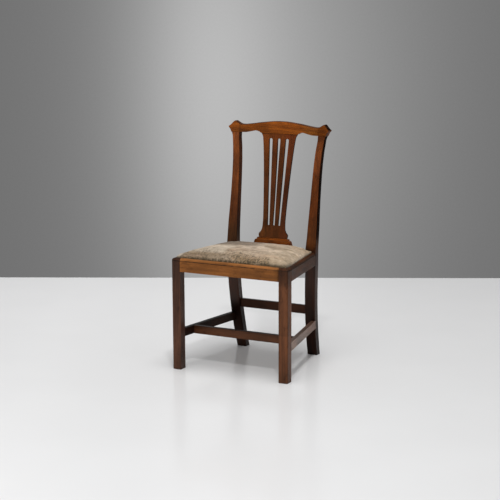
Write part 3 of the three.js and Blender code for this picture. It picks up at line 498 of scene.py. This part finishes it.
def bare_wood(name, grain, seed):
    """Unpolished beech of the seat's hidden parts."""
    material, tree = new_material(name)
    offset = (random.Random(seed).uniform(*OFFSETS),) * 3
    mapping = {"Vector": object_place(tree), "Rotation": GRAIN[grain], "Location": offset}
    place = node(tree, "Mapping", mapping).outputs[0]
    look = {name: pattern(tree, place, *values) for name, values in BEECH_NOISE.items()}
    colour = blend(tree, ramp(tree, look["lines"], 0.35, 0.68), BEECH_DEEP, BEECH_PALE)
    colour = tinted(tree, colour, ramp(tree, look["cloud"], 0.3, 0.7, 0.72, 1.08))
    flecks = ramp(tree, look["flecks"], 0.58, 0.72)
    colour = blend(tree, times(tree, flecks, 0.5), colour, BEECH_FLECKS)
    # Darker in corners found by occlusion: dirt together with painted shade
    colour = blend(tree, ramp(tree, openness(tree, 0.03), 0.7, 0.2, 0.0, 0.6), colour, BEECH_DIRT_AND_SHADE)
    skin(tree, colour, ramp(tree, look["cloud"], 0.3, 0.7, 0.62, 0.8), (look["lines"], 0.35, 0.0005))
    return material


def velvet():
    """Worn pile: rubbed streaks across the seat, and dark specks and tufts where pile is left."""
    material, tree = new_material("velvet")
    place = object_place(tree)
    parts = split(tree, place)
    parts["level"] = seat_level(tree, parts)
    look = {name: pattern(tree, place, *values) for name, values in VELVET_NOISE.items()}
    kept = [(region(tree, parts, *limits), weight) for weight, *limits in KEPT_REGIONS]
    kept = weighted(tree, *kept, (ramp(tree, look["patches"], 0.44, 0.68), 0.6))
    kept = calc(tree, "MAXIMUM", kept, 0.0)
    colour = blend(tree, ramp(tree, look["streaks"], 0.32, 0.66), STREAK_DEEP, STREAK_PALE)
    for share, shade, *limits in RUBBED_REGIONS:
        colour = blend(tree, times(tree, region(tree, parts, *limits), share), colour, shade)
    colour = blend(tree, times(tree, kept, PILE_SHARE), colour, PILE)
    for share, shade, *limits in PILE_AND_SHADE_REGIONS:
        colour = blend(tree, times(tree, region(tree, parts, *limits), share), colour, shade)
    tufts = ramp(tree, look["specks"], 0.48, 0.6)
    tufts = times(tree, tufts, ramp(tree, kept, 0.34, 0.95, 0.05, 0.85))
    colour = blend(tree, tufts, colour, TUFTS)
    colour = blend(tree, ramp(tree, look["rosy"], 0.52, 0.7, 0.0, 0.25), colour, ROSY)
    colour = tinted(tree, colour, ramp(tree, look["mottle"], 0.3, 0.7, 0.8, 1.12))
    # Painted shade low on the front edge, speckled and thickest to the right, and where the seat meets the
    # rails
    low = region(tree, parts, ("level", 0.4685, 0.4575), ("Y", -0.16, -0.215))
    thick = ramp(tree, parts["X"], 0.07, 0.15, 0.0, 0.75)
    thick = calc(tree, "MAXIMUM", ramp(tree, look["specks"], 0.36, 0.56, 0.2, 0.85), thick)
    colour = blend(tree, times(tree, low, thick), colour, FRONT_EDGE_SHADE)
    colour = blend(tree, ramp(tree, openness(tree, 0.02), 0.9, 0.35, 0.0, 0.6), colour, RAIL_CONTACT_SHADE)
    # The front left corner is rubbed through to its pale ground, with a painted highlight where the corner
    # catches light
    away = node(tree, "VectorMath", {0: place, 1: WORN_LIT_CORNER}, operation="DISTANCE").outputs["Value"]
    colour = blend(tree, ramp(tree, away, 0.028, 0.010, 0.0, 0.55), colour, PALE_GROUND_LIT)
    ribs = node(tree, "TexWave", {"Vector": place, "Scale": 165.0, "Distortion": 1.2, "Detail": 2.0},
                bands_direction="Y").outputs["Fac"]
    height = weighted(tree, (ribs, 0.35), (look["fibres"], 0.6), (look["mottle"], 2.2), (tufts, 1.2))
    skin(tree, colour, ramp(tree, kept, 0.0, 1.0, 0.72, 0.9), (height, 0.6, 0.0016),
         {"Sheen Weight": 0.25, "Sheen Roughness": 0.4, "Sheen Tint": rgba(SHEEN),
          "Specular IOR Level": 0.15})
    return material


def weave(name, threads, pale, deep, along="x", stripes=0.0, middle=0.0):
    """Plain weave of coarse yarn. Stripes are two dark lines at that distance from a strap's middle."""
    material, tree = new_material(name)
    place = object_place(tree)
    sway = noise(tree, place, 60.0, 2.0)
    parts = split(tree, place)
    u = weighted(tree, (parts["X"], threads), (sway, 0.9))
    v = weighted(tree, (parts["Y"], threads), (sway, 0.7))
    both = calc(tree, "ADD", calc(tree, "FLOOR", u), calc(tree, "FLOOR", v))
    over = calc(tree, "FLOORED_MODULO", both, 2.0)
    warp, weft = (calc(tree, "ABSOLUTE", calc(tree, "SINE", times(tree, way, math.pi))) for way in (u, v))
    under = calc(tree, "SUBTRACT", 1.0, over)
    thread = calc(tree, "ADD", times(tree, warp, over), times(tree, weft, under))
    fuzz = pattern(tree, place, *FUZZ_NOISE)
    tone = weighted(tree, (fuzz, 0.6), (pattern(tree, place, SLUB_SCALES[along], 2.0), 0.5))
    colour = blend(tree, ramp(tree, tone, 0.38, 0.72), deep, pale)
    if stripes:
        across = parts["Y"] if along == "x" else parts["X"]
        distance = calc(tree, "ABSOLUTE", calc(tree, "SUBTRACT", across, middle))
        offset = calc(tree, "ABSOLUTE", calc(tree, "SUBTRACT", distance, stripes))
        colour = blend(tree, ramp(tree, offset, 0.0016, 0.0009, 0.0, 0.75), colour, STRIPE)
    # Painted shade in the gaps between threads
    colour = blend(tree, ramp(tree, thread, 0.05, 0.5, 0.75, 0.0), colour, THREAD_GAP_SHADE)
    height = weighted(tree, (thread, 1.0), (fuzz, 0.35))
    skin(tree, colour, ramp(tree, fuzz, 0.3, 0.7, 0.8, 0.95), (height, 0.8, 0.0006),
         {"Specular IOR Level": 0.2, "Sheen Weight": 0.15})
    return material


def iron():
    """Blued heads with spots of rust."""
    material, tree = new_material("blued_iron")
    spots = noise(tree, object_place(tree), 900.0, 3.0)
    colour = blend(tree, ramp(tree, spots, 0.45, 0.65), BLUED, RUST)
    skin(tree, colour, ramp(tree, spots, 0.4, 0.65, 0.38, 0.7), (spots, 0.3, 0.0001), {"Metallic": 0.8})
    return material


# ---- the wood pieces of the frame ----

# Places along an axis, each with the tone reached there
# Back posts: much darker below the seat, partly the wood's own tone and partly painted shade
LEFT_POST_TONES = [("Z", ((0.05, 0.16), (0.12, 0.1), (0.18, 0.1), (0.25, 0.4), (0.34, 0.55), (0.43, 0.5),
                          (0.48, (0.7, 1.1, 2.1)), (0.62, (1.25, 1.4, 1.8)), (0.80, (1.5, 1.7, 2.3))))]
RIGHT_POST_TONES = [("Z", ((0.05, 0.13), (0.18, 0.17), (0.34, 0.28), (0.43, 0.3),
                           (0.49, (0.92, 1.15, 1.35)), (0.62, 0.95), (0.72, 1.0), (0.80, (1.5, 1.65, 1.8)),
                           (0.87, (1.45, 1.6, 1.75)), (0.90, 0.8)))]
SPLAT_TONES = [("Z", ((0.49, (1.08, 1.35, 1.9)), (0.57, (1.08, 1.3, 1.8)), (0.66, (0.97, 1.05, 1.5)),
                      (0.84, (1.08, 1.15, 1.4)), (0.90, 1.35))),
               ("X", ((-0.05, (1.06, 1.1, 0.95)), (-0.01, 1.0), (0.02, 1.0), (0.045, (1.08, 0.92, 1.05))))]
# Crest: darker along its lower edge, painted shade, and greyer to the right, a painted highlight
CREST_TONES = [("Z", ((0.893, 0.5), (0.910, 0.9), (0.922, 1.15), (0.956, 1.35))),
               ("X", ((-0.20, 0.95), (-0.184, 0.95), (-0.176, 0.62), (-0.168, 0.75), (-0.07, 0.8),
                      (-0.02, 1.3), (0.09, 1.2), (0.13, (1.15, 1.4, 1.7)), (0.168, (1.1, 1.3, 1.6)),
                      (0.182, 0.8)))]
LEFT_LEG_TONES = [("Z", ((0.02, 0.95), (0.10, 1.3), (0.30, 1.2), (0.44, 1.05)))]
# Front rail: the paler, greyer band on its moulded top is a painted highlight
RAIL_TONES = [("Z", ((0.440, 1.2), (0.4475, (1.32, 1.42, 1.65)))),
              ("X", ((-0.21, 1.05), (-0.15, 0.98), (0.06, 1.0), (0.15, 0.97), (0.19, 0.85),
                     (0.205, 0.72), (0.213, 0.45)))]
SHOE_TONES = [("X", ((-0.088, 0.45), (-0.066, 1.0)))]
STRETCHER_TONES = [("Y", ((-0.20, 1.35), (0.0, (1.1, 1.08, 1.08)), (0.12, (0.85, 0.76, 0.74))))]
RIGHT_LEG_TONES = [("Z", ((0.02, 0.8), (0.06, 1.1), (0.185, 1.25), (0.189, 1.0), (0.30, 1.2),
                          (0.37, 1.1), (0.40, 0.55), (0.443, 0.45), (0.453, 0.9)))]

# Highlight level and colour above the seat and below it: old varnish, wax, and dull wax
VARNISH = ((0.2, (1.0, 0.6, 0.3)), (0.3, (1.0, 0.9, 0.84)))
WAX = ((0.16, (1.0, 0.85, 0.75)),) * 2
DULL = ((0.07, (1.0, 0.8, 0.65)),) * 2

# Grain, pale tone, deep tone, edge wear, stains, tones by place, painted shade on right faces and tops,
# shine
FINISH = {
    "front_leg_right": ("z", (0.150, 0.054, 0.022), (0.054, 0.020, 0.010), 0.6, 0.7,
                        RIGHT_LEG_TONES, (0.0, 0.3), WAX),
    "front_leg_left": ("z", (0.100, 0.042, 0.024), (0.038, 0.017, 0.011), 0.5, 0.7,
                       LEFT_LEG_TONES, (0.0, 0.3), WAX),
    "back_post_right": ("z", (0.140, 0.032, 0.006), (0.056, 0.013, 0.004), 0.3, 0.4,
                        RIGHT_POST_TONES, (0.92, 0.0), VARNISH),
    "back_post_left": ("z", (0.148, 0.035, 0.006), (0.056, 0.014, 0.004), 0.3, 0.4,
                       LEFT_POST_TONES, (0.65, 0.0), VARNISH),
    "front_rail": ("x", (0.260, 0.093, 0.021), (0.145, 0.051, 0.012), 0.3, 0.5,
                   RAIL_TONES, (0.0, 0.0), WAX),
    "side_rail_right": ("y", (0.094, 0.031, 0.010), (0.038, 0.014, 0.006), 0.7, 0.6,
                        [], (0.0, 0.0), DULL),
    "side_rail_left": ("y", (0.098, 0.036, 0.014), (0.040, 0.016, 0.008), 0.7, 0.6,
                       [], (0.0, 0.0), DULL),
    "back_rail": ("x", (0.100, 0.036, 0.012), (0.042, 0.016, 0.006), 0.4, 0.5, [], (0.0, 0.2), WAX),
    "crest_rail": ("x", (0.275, 0.070, 0.007), (0.100, 0.024, 0.004), 0.35, 0.35,
                   CREST_TONES, (0.35, 0.65), VARNISH),
    "splat": ("z", (0.108, 0.025, 0.005), (0.046, 0.012, 0.003), 0.35, 0.5,
              SPLAT_TONES, (0.7, 0.2), VARNISH),
    "shoe": ("x", (0.300, 0.075, 0.009), (0.070, 0.019, 0.005), 0.7, 0.6,
             SHOE_TONES, (0.3, 0.2), VARNISH),
    # Right side stretcher: its greyish tones hold a painted reflection of the pale floor besides the
    # wood's colour
    "side_stretcher_right": ("y", (0.260, 0.160, 0.115), (0.105, 0.063, 0.046), 0.8, 0.6,
                             STRETCHER_TONES, (0.0, 0.45), WAX),
    "side_stretcher_left": ("y", (0.030, 0.011, 0.007), (0.011, 0.005, 0.003), 0.8, 0.4,
                            [], (0.0, 0.5), DULL),
    "cross_stretcher": ("x", (0.105, 0.039, 0.017), (0.038, 0.015, 0.008), 0.7, 0.6,
                        [], (0.0, 0.5), WAX),
    "back_stretcher": ("x", (0.070, 0.023, 0.010), (0.024, 0.009, 0.005), 0.5, 0.4,
                       [], (0.0, 0.4), WAX),
}
# Grain of the bare pieces
BARE = {"front_corner_block_right": "x", "front_corner_block_left": "x",
        "back_corner_block_right": "x", "back_corner_block_left": "x",
        "seat_frame_side_right": "y", "seat_frame_side_left": "y",
        "seat_frame_front": "x", "seat_frame_back": "x"}
BARE_SEED = 40


def modify(obj, name, kind, **settings):
    modifier = obj.modifiers.new(name, kind)
    for key, value in settings.items():
        setattr(modifier, key, value)


def soften(obj, width):
    """Merge the solid's flat facets and round its arrises."""
    modify(obj, "weld", "WELD", merge_threshold=MERGE_DISTANCE)
    modify(obj, "plain", "DECIMATE", decimate_type="DISSOLVE", angle_limit=FLAT_ANGLE)
    modify(obj, "arris", "BEVEL", width=width, segments=2, limit_method="ANGLE",
           angle_limit=ARRIS_ANGLE, use_clamp_overlap=True, miter_outer="MITER_SHARP")
    modify(obj, "normals", "WEIGHTED_NORMAL", weight=NORMAL_WEIGHT)
    obj.data.shade_smooth()


def dress(obj, material):
    obj.data.materials.clear()
    obj.data.materials.append(material)


for number, (name, look) in enumerate(sorted(FINISH.items())):
    dress(NODES[name], wood("wood_" + name, *look, number))
    soften(NODES[name], ARRIS)
for number, (name, grain) in enumerate(sorted(BARE.items())):
    dress(NODES[name], bare_wood("beech_" + name, grain, BARE_SEED + number))
    soften(NODES[name], BARE_ARRIS)


# ---- the drop-in seat ----

def outer_side(y):
    share = np.maximum(0, (y - LEG) / (SEAT_DEPTH - LEG))
    return mix(FRONT_WIDTH, BACK_WIDTH, share) / 2


def seat_side(y, inset):
    return outer_side(y) - MOULDING - CLEARANCE - inset


def seat_plan(s, t, inset, front_round=FRONT_ROUND, back_round=BACK_ROUND):
    """Plan of the seat, s from side to side and t from front to back, notched at the posts."""
    front = MOULDING + CLEARANCE + inset
    rear = SEAT_BACK - CLEARANCE - inset
    y = mix(front, rear, t)

    def corner(distance, radius):
        short = np.clip(1 - distance / radius, 0, 1)
        return radius * (1 - np.sqrt(1 - short ** 2))

    edge = seat_side(y, inset) - corner(y - front, front_round) - corner(rear - y, back_round)
    x = s * edge
    notch_end = POST_INNER - CLEARANCE - inset
    notch = smooth(np.abs(x), notch_end - NOTCH_EASE, notch_end)
    rear_here = rear - notch * (SEAT_BACK - SEAT_DEPTH)
    return x, mix(front, rear_here, t), edge, front, rear_here


def fallen(x, y, z):
    """Points of the level seat in the chair's own place."""
    return np.stack([x, y - CHAIR_MIDDLE, z - FALL_SHARE * y], axis=-1)


def wave(x, y, seed, length):
    """Slow smooth unevenness between -1 and 1."""
    pick = random.Random(seed)
    total = 0
    for _ in range(WAVE_COUNT):
        angle = pick.uniform(0, math.pi)
        step = 2 * math.pi / (length * pick.uniform(*WAVE_SPREAD))
        total = total + np.sin((x * math.cos(angle) + y * math.sin(angle)) * step
                               + pick.uniform(0, WAVE_START))
    return total / WAVE_PEAK


def cushion_height(s, t, x, y, edge, front, rear):
    def swell(inward):
        return np.sqrt(np.clip(1 - np.clip(1 - inward / EDGE_RADIUS, 0, 1) ** 2, 0, 1))
    near = np.minimum(y - front, rear - y)
    rounded = swell(edge - np.abs(x)) * swell(near)
    along = 2 * t - 1
    return WEB_LEVEL + EDGE_RISE * rounded + CROWN_RISE * (1 - s ** 2) * (1 - along ** 2)


def spread(count, crowding):
    """Shares from -1 to 1, closer together near the ends."""
    line = np.linspace(-1, 1, count)
    return mix(line, np.sin(line * math.pi / 2), crowding)


def grid_faces(rows, columns, order):
    """Faces of a grid of points, each with its corners as steps along the row and the column."""
    return [tuple((row + down) * columns + column + along for down, along in order)
            for row in range(rows - 1) for column in range(columns - 1)]


def cover_mesh():
    """Top, sides and turned-under hem of the cover as one sheet, with its pinned lower rings."""
    s, t = np.meshgrid(spread(COLUMNS, CROWDING), (spread(ROWS, CROWDING) + 1) / 2)
    x, y, edge, front, rear = seat_plan(s, t, 0.0)
    top = fallen(x, y, cushion_height(s, t, x, y, edge, front, rear))
    points = list(top.reshape(-1, 3))
    faces = grid_faces(ROWS, COLUMNS, ((0, 0), (0, 1), (1, 1), (1, 0)))
    last_row, last_column = ROWS - 1, COLUMNS - 1
    rim = ([(0, c) for c in range(last_column)] + [(r, last_column) for r in range(last_row)]
           + [(last_row, c) for c in range(last_column, 0, -1)] + [(r, 0) for r in range(last_row, 0, -1)])
    rim_s = np.array([s[r, c] for r, c in rim])
    rim_t = np.array([t[r, c] for r, c in rim])
    ring = [r * COLUMNS + c for r, c in rim]
    foot = LEDGE + GAP
    levels = [(0.0, mix(WEB_LEVEL, foot, share)) for share in SIDE_RINGS]
    levels += [(inset, foot + rise) for inset, rise in HEM_RINGS]
    front_loss, back_loss = ROUND_LOSS
    for inset, level in levels:
        x, y, *_ = seat_plan(rim_s, rim_t, inset, FRONT_ROUND - min(inset, front_loss),
                             BACK_ROUND - min(inset, back_loss))
        start = len(points)
        points.extend(fallen(x, y, np.full_like(x, level)))
        for k in range(len(ring)):
            after = (k + 1) % len(ring)
            faces.append((ring[after], ring[k], start + k, start + after))
        ring = list(range(start, start + len(rim)))
    return np.array(points), faces


def vertex_places(mesh):
    places = np.empty(len(mesh.vertices) * 3)
    mesh.vertices.foreach_get("co", places)
    return places.reshape(-1, 3)


def settle(obj, pins):
    """Cloth simulation: the cover is blown taut from inside while its pinned points hold."""
    group = obj.vertex_groups.new(name="pins")
    for index, weight in enumerate(pins):
        if weight > 0:
            group.add([index], float(weight), "REPLACE")
    cloth = obj.modifiers.new("cloth", "CLOTH")
    cloth.settings.vertex_group_mass = "pins"
    cloth.settings.use_pressure = True
    cloth.settings.uniform_pressure_force = SETTLE_PRESSURE
    cloth.settings.effector_weights.gravity = 0
    cloth.settings.tension_stiffness = TENSION_STIFFNESS
    cloth.settings.bending_stiffness = BENDING_STIFFNESS
    cloth.settings.quality = CLOTH_QUALITY
    cloth.point_cache.frame_start = 1
    cloth.point_cache.frame_end = SETTLE_FRAMES
    for number in range(1, SETTLE_FRAMES + 1):
        SCENE.frame_set(number)
    moved = vertex_places(obj.evaluated_get(bpy.context.evaluated_depsgraph_get()).data)
    obj.modifiers.remove(cloth)
    SCENE.frame_set(1)
    before = vertex_places(obj.data)
    step = moved - before
    length = np.linalg.norm(step, axis=1, keepdims=True)
    capped = before + step * np.minimum(1, SETTLE_MOST / np.maximum(length, TINY))
    obj.data.vertices.foreach_set("co", capped.ravel())


def fold(x, y, corner, angle, reach, width, depth):
    """A crease that runs from a corner into the seat and dies out."""
    dx, dy = x - corner[0], y - corner[1]
    along = dx * math.cos(angle) + dy * math.sin(angle)
    across = -dx * math.sin(angle) + dy * math.cos(angle)
    narrow, widening = FOLD_WIDTHS
    spread_here = width * (narrow + widening * np.clip(along / reach, 0, 1))
    fade = smooth(along, 0.0, FOLD_START) * (1 - smooth(along, reach * FOLD_FADE, reach))
    return -depth * fade * np.exp(-(across / spread_here) ** 2)


def crease(obj, top_count):
    """Slow lumps of the stuffing, pull marks along the edges and pleats at the corners."""
    places = vertex_places(obj.data)
    top = places[:top_count]
    x, y = top[:, 0].copy(), top[:, 1] + CHAIR_MIDDLE
    side = seat_side(y, 0.0) - np.abs(x)
    near = np.minimum(np.minimum(side, y - MOULDING), SEAT_BACK - y)
    inner = smooth(near, *LUMP_EDGE)
    lift = np.zeros_like(x)
    for height, seed, length in LUMPS:
        lift += height * wave(x, y, seed, length) * inner
    for (x_dip, y_dip), (wide, deep), depth in DIPS:
        lift -= depth * np.exp(-((x - x_dip) / wide) ** 2 - ((y - y_dip) / deep) ** 2)
    band = PULL_HEIGHT * np.exp(-((near - PULL_PLACE) / PULL_WIDTH) ** 2)
    front_step, side_step = PULL_STEPS
    front_pulls = np.sin(2 * math.pi * x / front_step + PULL_START)
    side_pulls = np.sin(2 * math.pi * y / side_step)
    lift += band * np.where(side > near + EDGE_TIE, front_pulls, side_pulls)
    for (right, rear), angles, reach, width, depth in PLEATS:
        corner_y = SEAT_DEPTH - PLEAT_REAR_INSET if rear > 0 else MOULDING + PLEAT_INSET
        corner_x = right * (seat_side(np.array(corner_y), 0.0) - PLEAT_INSET)
        for k, angle in enumerate(angles):
            size = 1.0 - PLEAT_LOSS * (k % 3)
            lift += fold(x, y, (corner_x, corner_y), math.radians(angle), reach * size, width,
                         depth * size)
    places[:top_count, 2] += lift
    obj.data.vertices.foreach_set("co", places.ravel())
    obj.data.update()


def thicken(obj, thickness, side):
    """Give a sheet its thickness, outward for side 1 and inward for side -1."""
    modify(obj, "thickness", "SOLIDIFY", thickness=thickness, offset=side)
    obj.data.shade_smooth()


def seat_upholstery():
    points, faces = cover_mesh()
    cover = new_object("seat_upholstery", points, faces)
    level = points[:, 2] + FALL_SHARE * (points[:, 1] + CHAIR_MIDDLE)
    pins = 1 - smooth(level, *(WEB_LEVEL + rise for rise in PIN_RISES))
    settle(cover, pins)
    crease(cover, COLUMNS * ROWS)
    thicken(cover, COVER_THICKNESS, -1)
    dress(cover, velvet())
    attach(cover, "drop_in_seat")
    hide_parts("seat_cover", "stuffing")


def strap(kind, number, middle, start, end, crossings):
    """Flat webbing that passes over some of the straps it crosses."""
    along = "x" if kind == "cross" else "y"
    half = WEB_WIDTH / 2
    stations = np.linspace(start, end, WEB_STATIONS)
    lift = np.zeros_like(stations)
    for place in crossings:
        distance = np.abs(stations - place)
        risen = 1 - smooth(distance, half + WEB_SLOPE[0], half + WEB_SLOPE[1])
        lift = np.maximum(lift, WEB_LIFT * risen)
    across = np.linspace(-half, half, WEB_ACROSS)
    edge_droop = WEB_DROOP * np.abs(across / half) ** 6
    points = []
    for place, rise in zip(stations, lift):
        for offset, droop in zip(across, edge_droop):
            fray = WEB_FRAY * math.sin(place * FRAY_WAVES) * (abs(offset) > half - SELVEDGE)
            side = middle + (offset + fray)
            x, y = (place, side) if along == "x" else (side, place)
            points.append(fallen(np.array(x), np.array(y), np.array(WEB_LEVEL + rise + droop)))
    faces = grid_faces(WEB_STATIONS, WEB_ACROSS, ((0, 0), (1, 0), (1, 1), (0, 1)))
    made = new_object(f"{kind}_strap_{number}", points, faces)
    bm = bmesh.new()
    bm.from_mesh(made.data)
    bmesh.ops.recalc_face_normals(bm, faces=bm.faces)
    if bm.faces[0].normal.z < 0:
        bmesh.ops.reverse_faces(bm, faces=bm.faces)
    bm.to_mesh(made.data)
    bm.free()
    thicken(made, WEB_THICKNESS - WEB_CLEARANCE, 1)
    middle_here = middle - CHAIR_MIDDLE if along == "x" else middle
    dress(made, weave(f"webbing_{kind}_{number}", WEB_THREADS, *JUTE, along, WEB_STRIPES, middle_here))
    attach(made, "drop_in_seat")
    return made


def webbing():
    inset = COVER + GAP
    front, rear = MOULDING + CLEARANCE + inset, SEAT_BACK - CLEARANCE - inset
    rows = [mix(MOULDING + CLEARANCE, SEAT_BACK - CLEARANCE, 0.5) + k * WEB_PITCH for k in (-1, 0, 1)]
    columns = [k * WEB_PITCH for k in (-1, 0, 1)]
    for k in range(3):
        crossed = [rows[n] for n in range(3) if (n + k) % 2 == 0]
        made = strap("long", k + 1, columns[k], front + WEB_END, rear - WEB_END, crossed)
        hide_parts(f"long_webbing_{k + 1}")
        crossed = [columns[n] for n in range(3) if (n + k) % 2 == 1]
        end = float(seat_side(np.array(rows[k] + WEB_WIDTH / 2), inset)) - WEB_END
        made = strap("cross", k + 1, rows[k], -end, end, crossed)
        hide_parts(f"cross_webbing_{k + 1}")


def hessian_cloth():
    front = MOULDING + CLEARANCE + HESSIAN_INSET
    rear = SEAT_DEPTH - CLEARANCE - HESSIAN_INSET
    wide = float(seat_side(np.array(front), HESSIAN_INSET))
    narrow = float(seat_side(np.array(rear), HESSIAN_INSET))
    s, t = np.meshgrid(np.linspace(-1, 1, HESSIAN_COLUMNS), np.linspace(0, 1, HESSIAN_ROWS))
    y = mix(front, rear, t)
    x = s * mix(wide, narrow, t)
    lift = HESSIAN_LIFT * (1 + wave(x, y, *HESSIAN_WAVE)) / 2
    points = fallen(x, y, HESSIAN_LEVEL + lift).reshape(-1, 3)
    faces = grid_faces(HESSIAN_ROWS, HESSIAN_COLUMNS, ((0, 0), (0, 1), (1, 1), (1, 0)))
    cloth = new_object("hessian_cloth", points, faces)
    thicken(cloth, HESSIAN_THICKNESS, 1)
    dress(cloth, weave("hessian", HESSIAN_THREADS, *HESSIAN_YARN))
    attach(cloth, "drop_in_seat")
    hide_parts("hessian")


def tack_spots():
    """Where the tacks sit: a row along the front, the rear and each side."""
    front, rear = MOULDING + CLEARANCE + TACK_INSET, SEAT_BACK - CLEARANCE - TACK_INSET
    spots = []
    for half, y in ((TACK_FRONT_HALF, front), (TACK_REAR_HALF, rear)):
        spots += [(x, y) for x in np.arange(-half, half + TACK_SLACK, TACK_STEP)]
    for y in np.arange(*TACK_SIDE_ROW, TACK_STEP):
        side = float(seat_side(np.array(y), TACK_INSET))
        spots += [(side, y), (-side, y)]
    return spots


def tacks():
    """Domed tack heads that hold the cover's hem under the seat frame, clear of the rails."""
    pick = random.Random(TACK_SEED)
    turns = np.linspace(0, 2 * math.pi, TACK_SIDES + 1)[:-1]
    bm = bmesh.new()
    for x, y in tack_spots():
        x, y = x + pick.uniform(-TACK_STRAY_X, TACK_STRAY_X), y + pick.uniform(-TACK_STRAY_Y, TACK_STRAY_Y)
        place = fallen(np.array(x), np.array(y), np.array(LEDGE + GAP))
        previous = None
        for radius, drop in TACK_RINGS:
            ring = [bm.verts.new((place[0] + radius * math.cos(a), place[1] + radius * math.sin(a),
                                  place[2] - drop)) for a in turns]
            if previous:
                for k in range(TACK_SIDES):
                    after = (k + 1) % TACK_SIDES
                    bm.faces.new((previous[k], ring[k], ring[after], previous[after]))
            else:
                bm.faces.new(ring)
            previous = ring
        bm.faces.new(list(reversed(previous)))
    bmesh.ops.recalc_face_normals(bm, faces=bm.faces)
    made = new_object("cover_tacks", [], [])
    bm.to_mesh(made.data)
    bm.free()
    made.data.shade_smooth()
    dress(made, iron())
    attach(made, "drop_in_seat")


# ---- room and light ----

def one_sided(tree, shader):
    """A surface seen from its front only, so that a view from behind or below looks through it."""
    behind = node(tree, "NewGeometry").outputs["Backfacing"]
    clear = node(tree, "BsdfTransparent").outputs[0]
    mixed = node(tree, "MixShader", {0: behind, 1: shader.outputs[0], 2: clear})
    node(tree, "OutputMaterial", {"Surface": mixed.outputs[0]})


def gauss(tree, value, middle, width):
    away = calc(tree, "DIVIDE", calc(tree, "SUBTRACT", value, middle), width)
    return calc(tree, "EXPONENT", times(tree, times(tree, away, away), -1.0))


def stage_plane(name, corners, place):
    made = new_object(name, corners, [(0, 1, 2, 3)])
    made.matrix_world = place
    return made


def wall_material(glow_along, glow_up, pixel):
    """Grey plaster that glows as it does behind the chair in the photograph."""
    material, tree = new_material("wall")
    place = object_place(tree)
    parts = split(tree, place)
    glows = [(gauss(tree, parts["X"], glow_along + shift * pixel, width * pixel), strength)
             for shift, width, strength in WALL_GLOWS]
    glow = times(tree, weighted(tree, *glows), gauss(tree, parts["Z"], glow_up, GLOW_RISE * pixel))
    tone = calc(tree, "POWER", calc(tree, "ADD", glow, WALL_TONE), DISPLAY_POWER)
    plaster = noise(tree, place, 90.0, 3.0)
    tone = times(tree, tone, ramp(tree, plaster, 0.2, 0.8, 0.985, 1.015))
    one_sided(tree, node(tree, "Emission", {"Color": tone, "Strength": 1.0}))
    return material


def floor_material(glow_along, pixel):
    """Smooth pale floor, paler near the wall and on the left and darker right by the wall: painted light
    and shade.
    """
    material, tree = new_material("floor")
    place = object_place(tree)
    parts = split(tree, place)
    near_wall = gauss(tree, parts["Y"], 0.0, NEAR_WALL)
    right, left = (ramp(tree, parts["X"], glow_along + begin * pixel, glow_along + full * pixel)
                   for begin, full in (FLOOR_RIGHT, FLOOR_LEFT))
    # Painted light near the wall and on the left, painted shade to the right near the wall
    tone = calc(tree, "ADD", FLOOR_TONE, weighted(
        tree, (near_wall, 0.17), (left, 0.085), (times(tree, right, near_wall), -0.08)))
    mottle = noise(tree, place, 3.0, 4.0)
    tone = times(tree, tone, ramp(tree, mottle, 0.2, 0.8, 0.99, 1.01))
    gloss = {"Roughness": 0.19, "Specular IOR Level": 0.4}
    one_sided(tree, node(tree, "BsdfPrincipled", {"Base Color": tone, **gloss}))
    return material


def make_room():
    left, right = (floor_point(*point) for point in WALL_LINE)
    line = (right - left).normalized()
    away = UP.cross(line)
    middle = (left + right) / 2
    pixel = (right - left).length / IMAGE_SIZE
    place = Matrix.Translation(middle) @ Matrix((line, away, UP)).transposed().to_4x4()
    ray = ray_through(*WALL_GLOW)
    glow = CAMERA_PLACE + ray * ((middle - CAMERA_PLACE).dot(away) / ray.dot(away))
    glow_along = (glow - middle).dot(line)
    half = STAGE_HALF
    wall = stage_plane("wall", [(-half, 0, WALL_FOOT), (half, 0, WALL_FOOT),
                                (half, 0, WALL_TOP), (-half, 0, WALL_TOP)], place)
    wall.visible_diffuse = wall.visible_shadow = False
    dress(wall, wall_material(glow_along, glow.z, pixel))
    floor = stage_plane("floor", [(-half, FLOOR_FRONT, 0), (half, FLOOR_FRONT, 0),
                                  (half, FLOOR_REAR, 0), (-half, FLOOR_REAR, 0)], place)
    dress(floor, floor_material(glow_along, pixel))


def area_light(name, azimuth, elevation, distance, size, power):
    data = bpy.data.lights.new(name, "AREA")
    data.shape = "DISK"
    data.size = size
    data.energy = power
    lamp = bpy.data.objects.new(name, data)
    SCENE.collection.objects.link(lamp)
    direction = toward(math.radians(azimuth), math.radians(elevation))
    lamp.location = LIT_PLACE + direction * distance
    lamp.rotation_mode = "QUATERNION"
    lamp.rotation_quaternion = direction.to_track_quat("Z", "Y")


def make_light():
    world = bpy.data.worlds.new("world")
    SCENE.world = world
    world.use_nodes = True
    tree = world.node_tree
    tree.nodes.clear()
    path = node(tree, "LightPath").outputs
    seen = calc(tree, "MAXIMUM", path["Is Camera Ray"], path["Is Glossy Ray"])
    seen = calc(tree, "MAXIMUM", seen, path["Is Transmission Ray"])
    lighting, backdrop = (node(tree, "Background", {"Color": rgba(colour), "Strength": 1.0}).outputs[0]
                          for colour in (WORLD_LIGHT, WORLD_SEEN))
    shader = node(tree, "MixShader", {0: seen, 1: lighting, 2: backdrop})
    node(tree, "OutputWorld", {"Surface": shader.outputs[0]})
    for name, values in LAMPS.items():
        area_light(name, *values)


make_camera()
seat_upholstery()
webbing()
hessian_cloth()
tacks()
make_room()
make_light()

SCENE.view_settings.view_transform = "Standard"
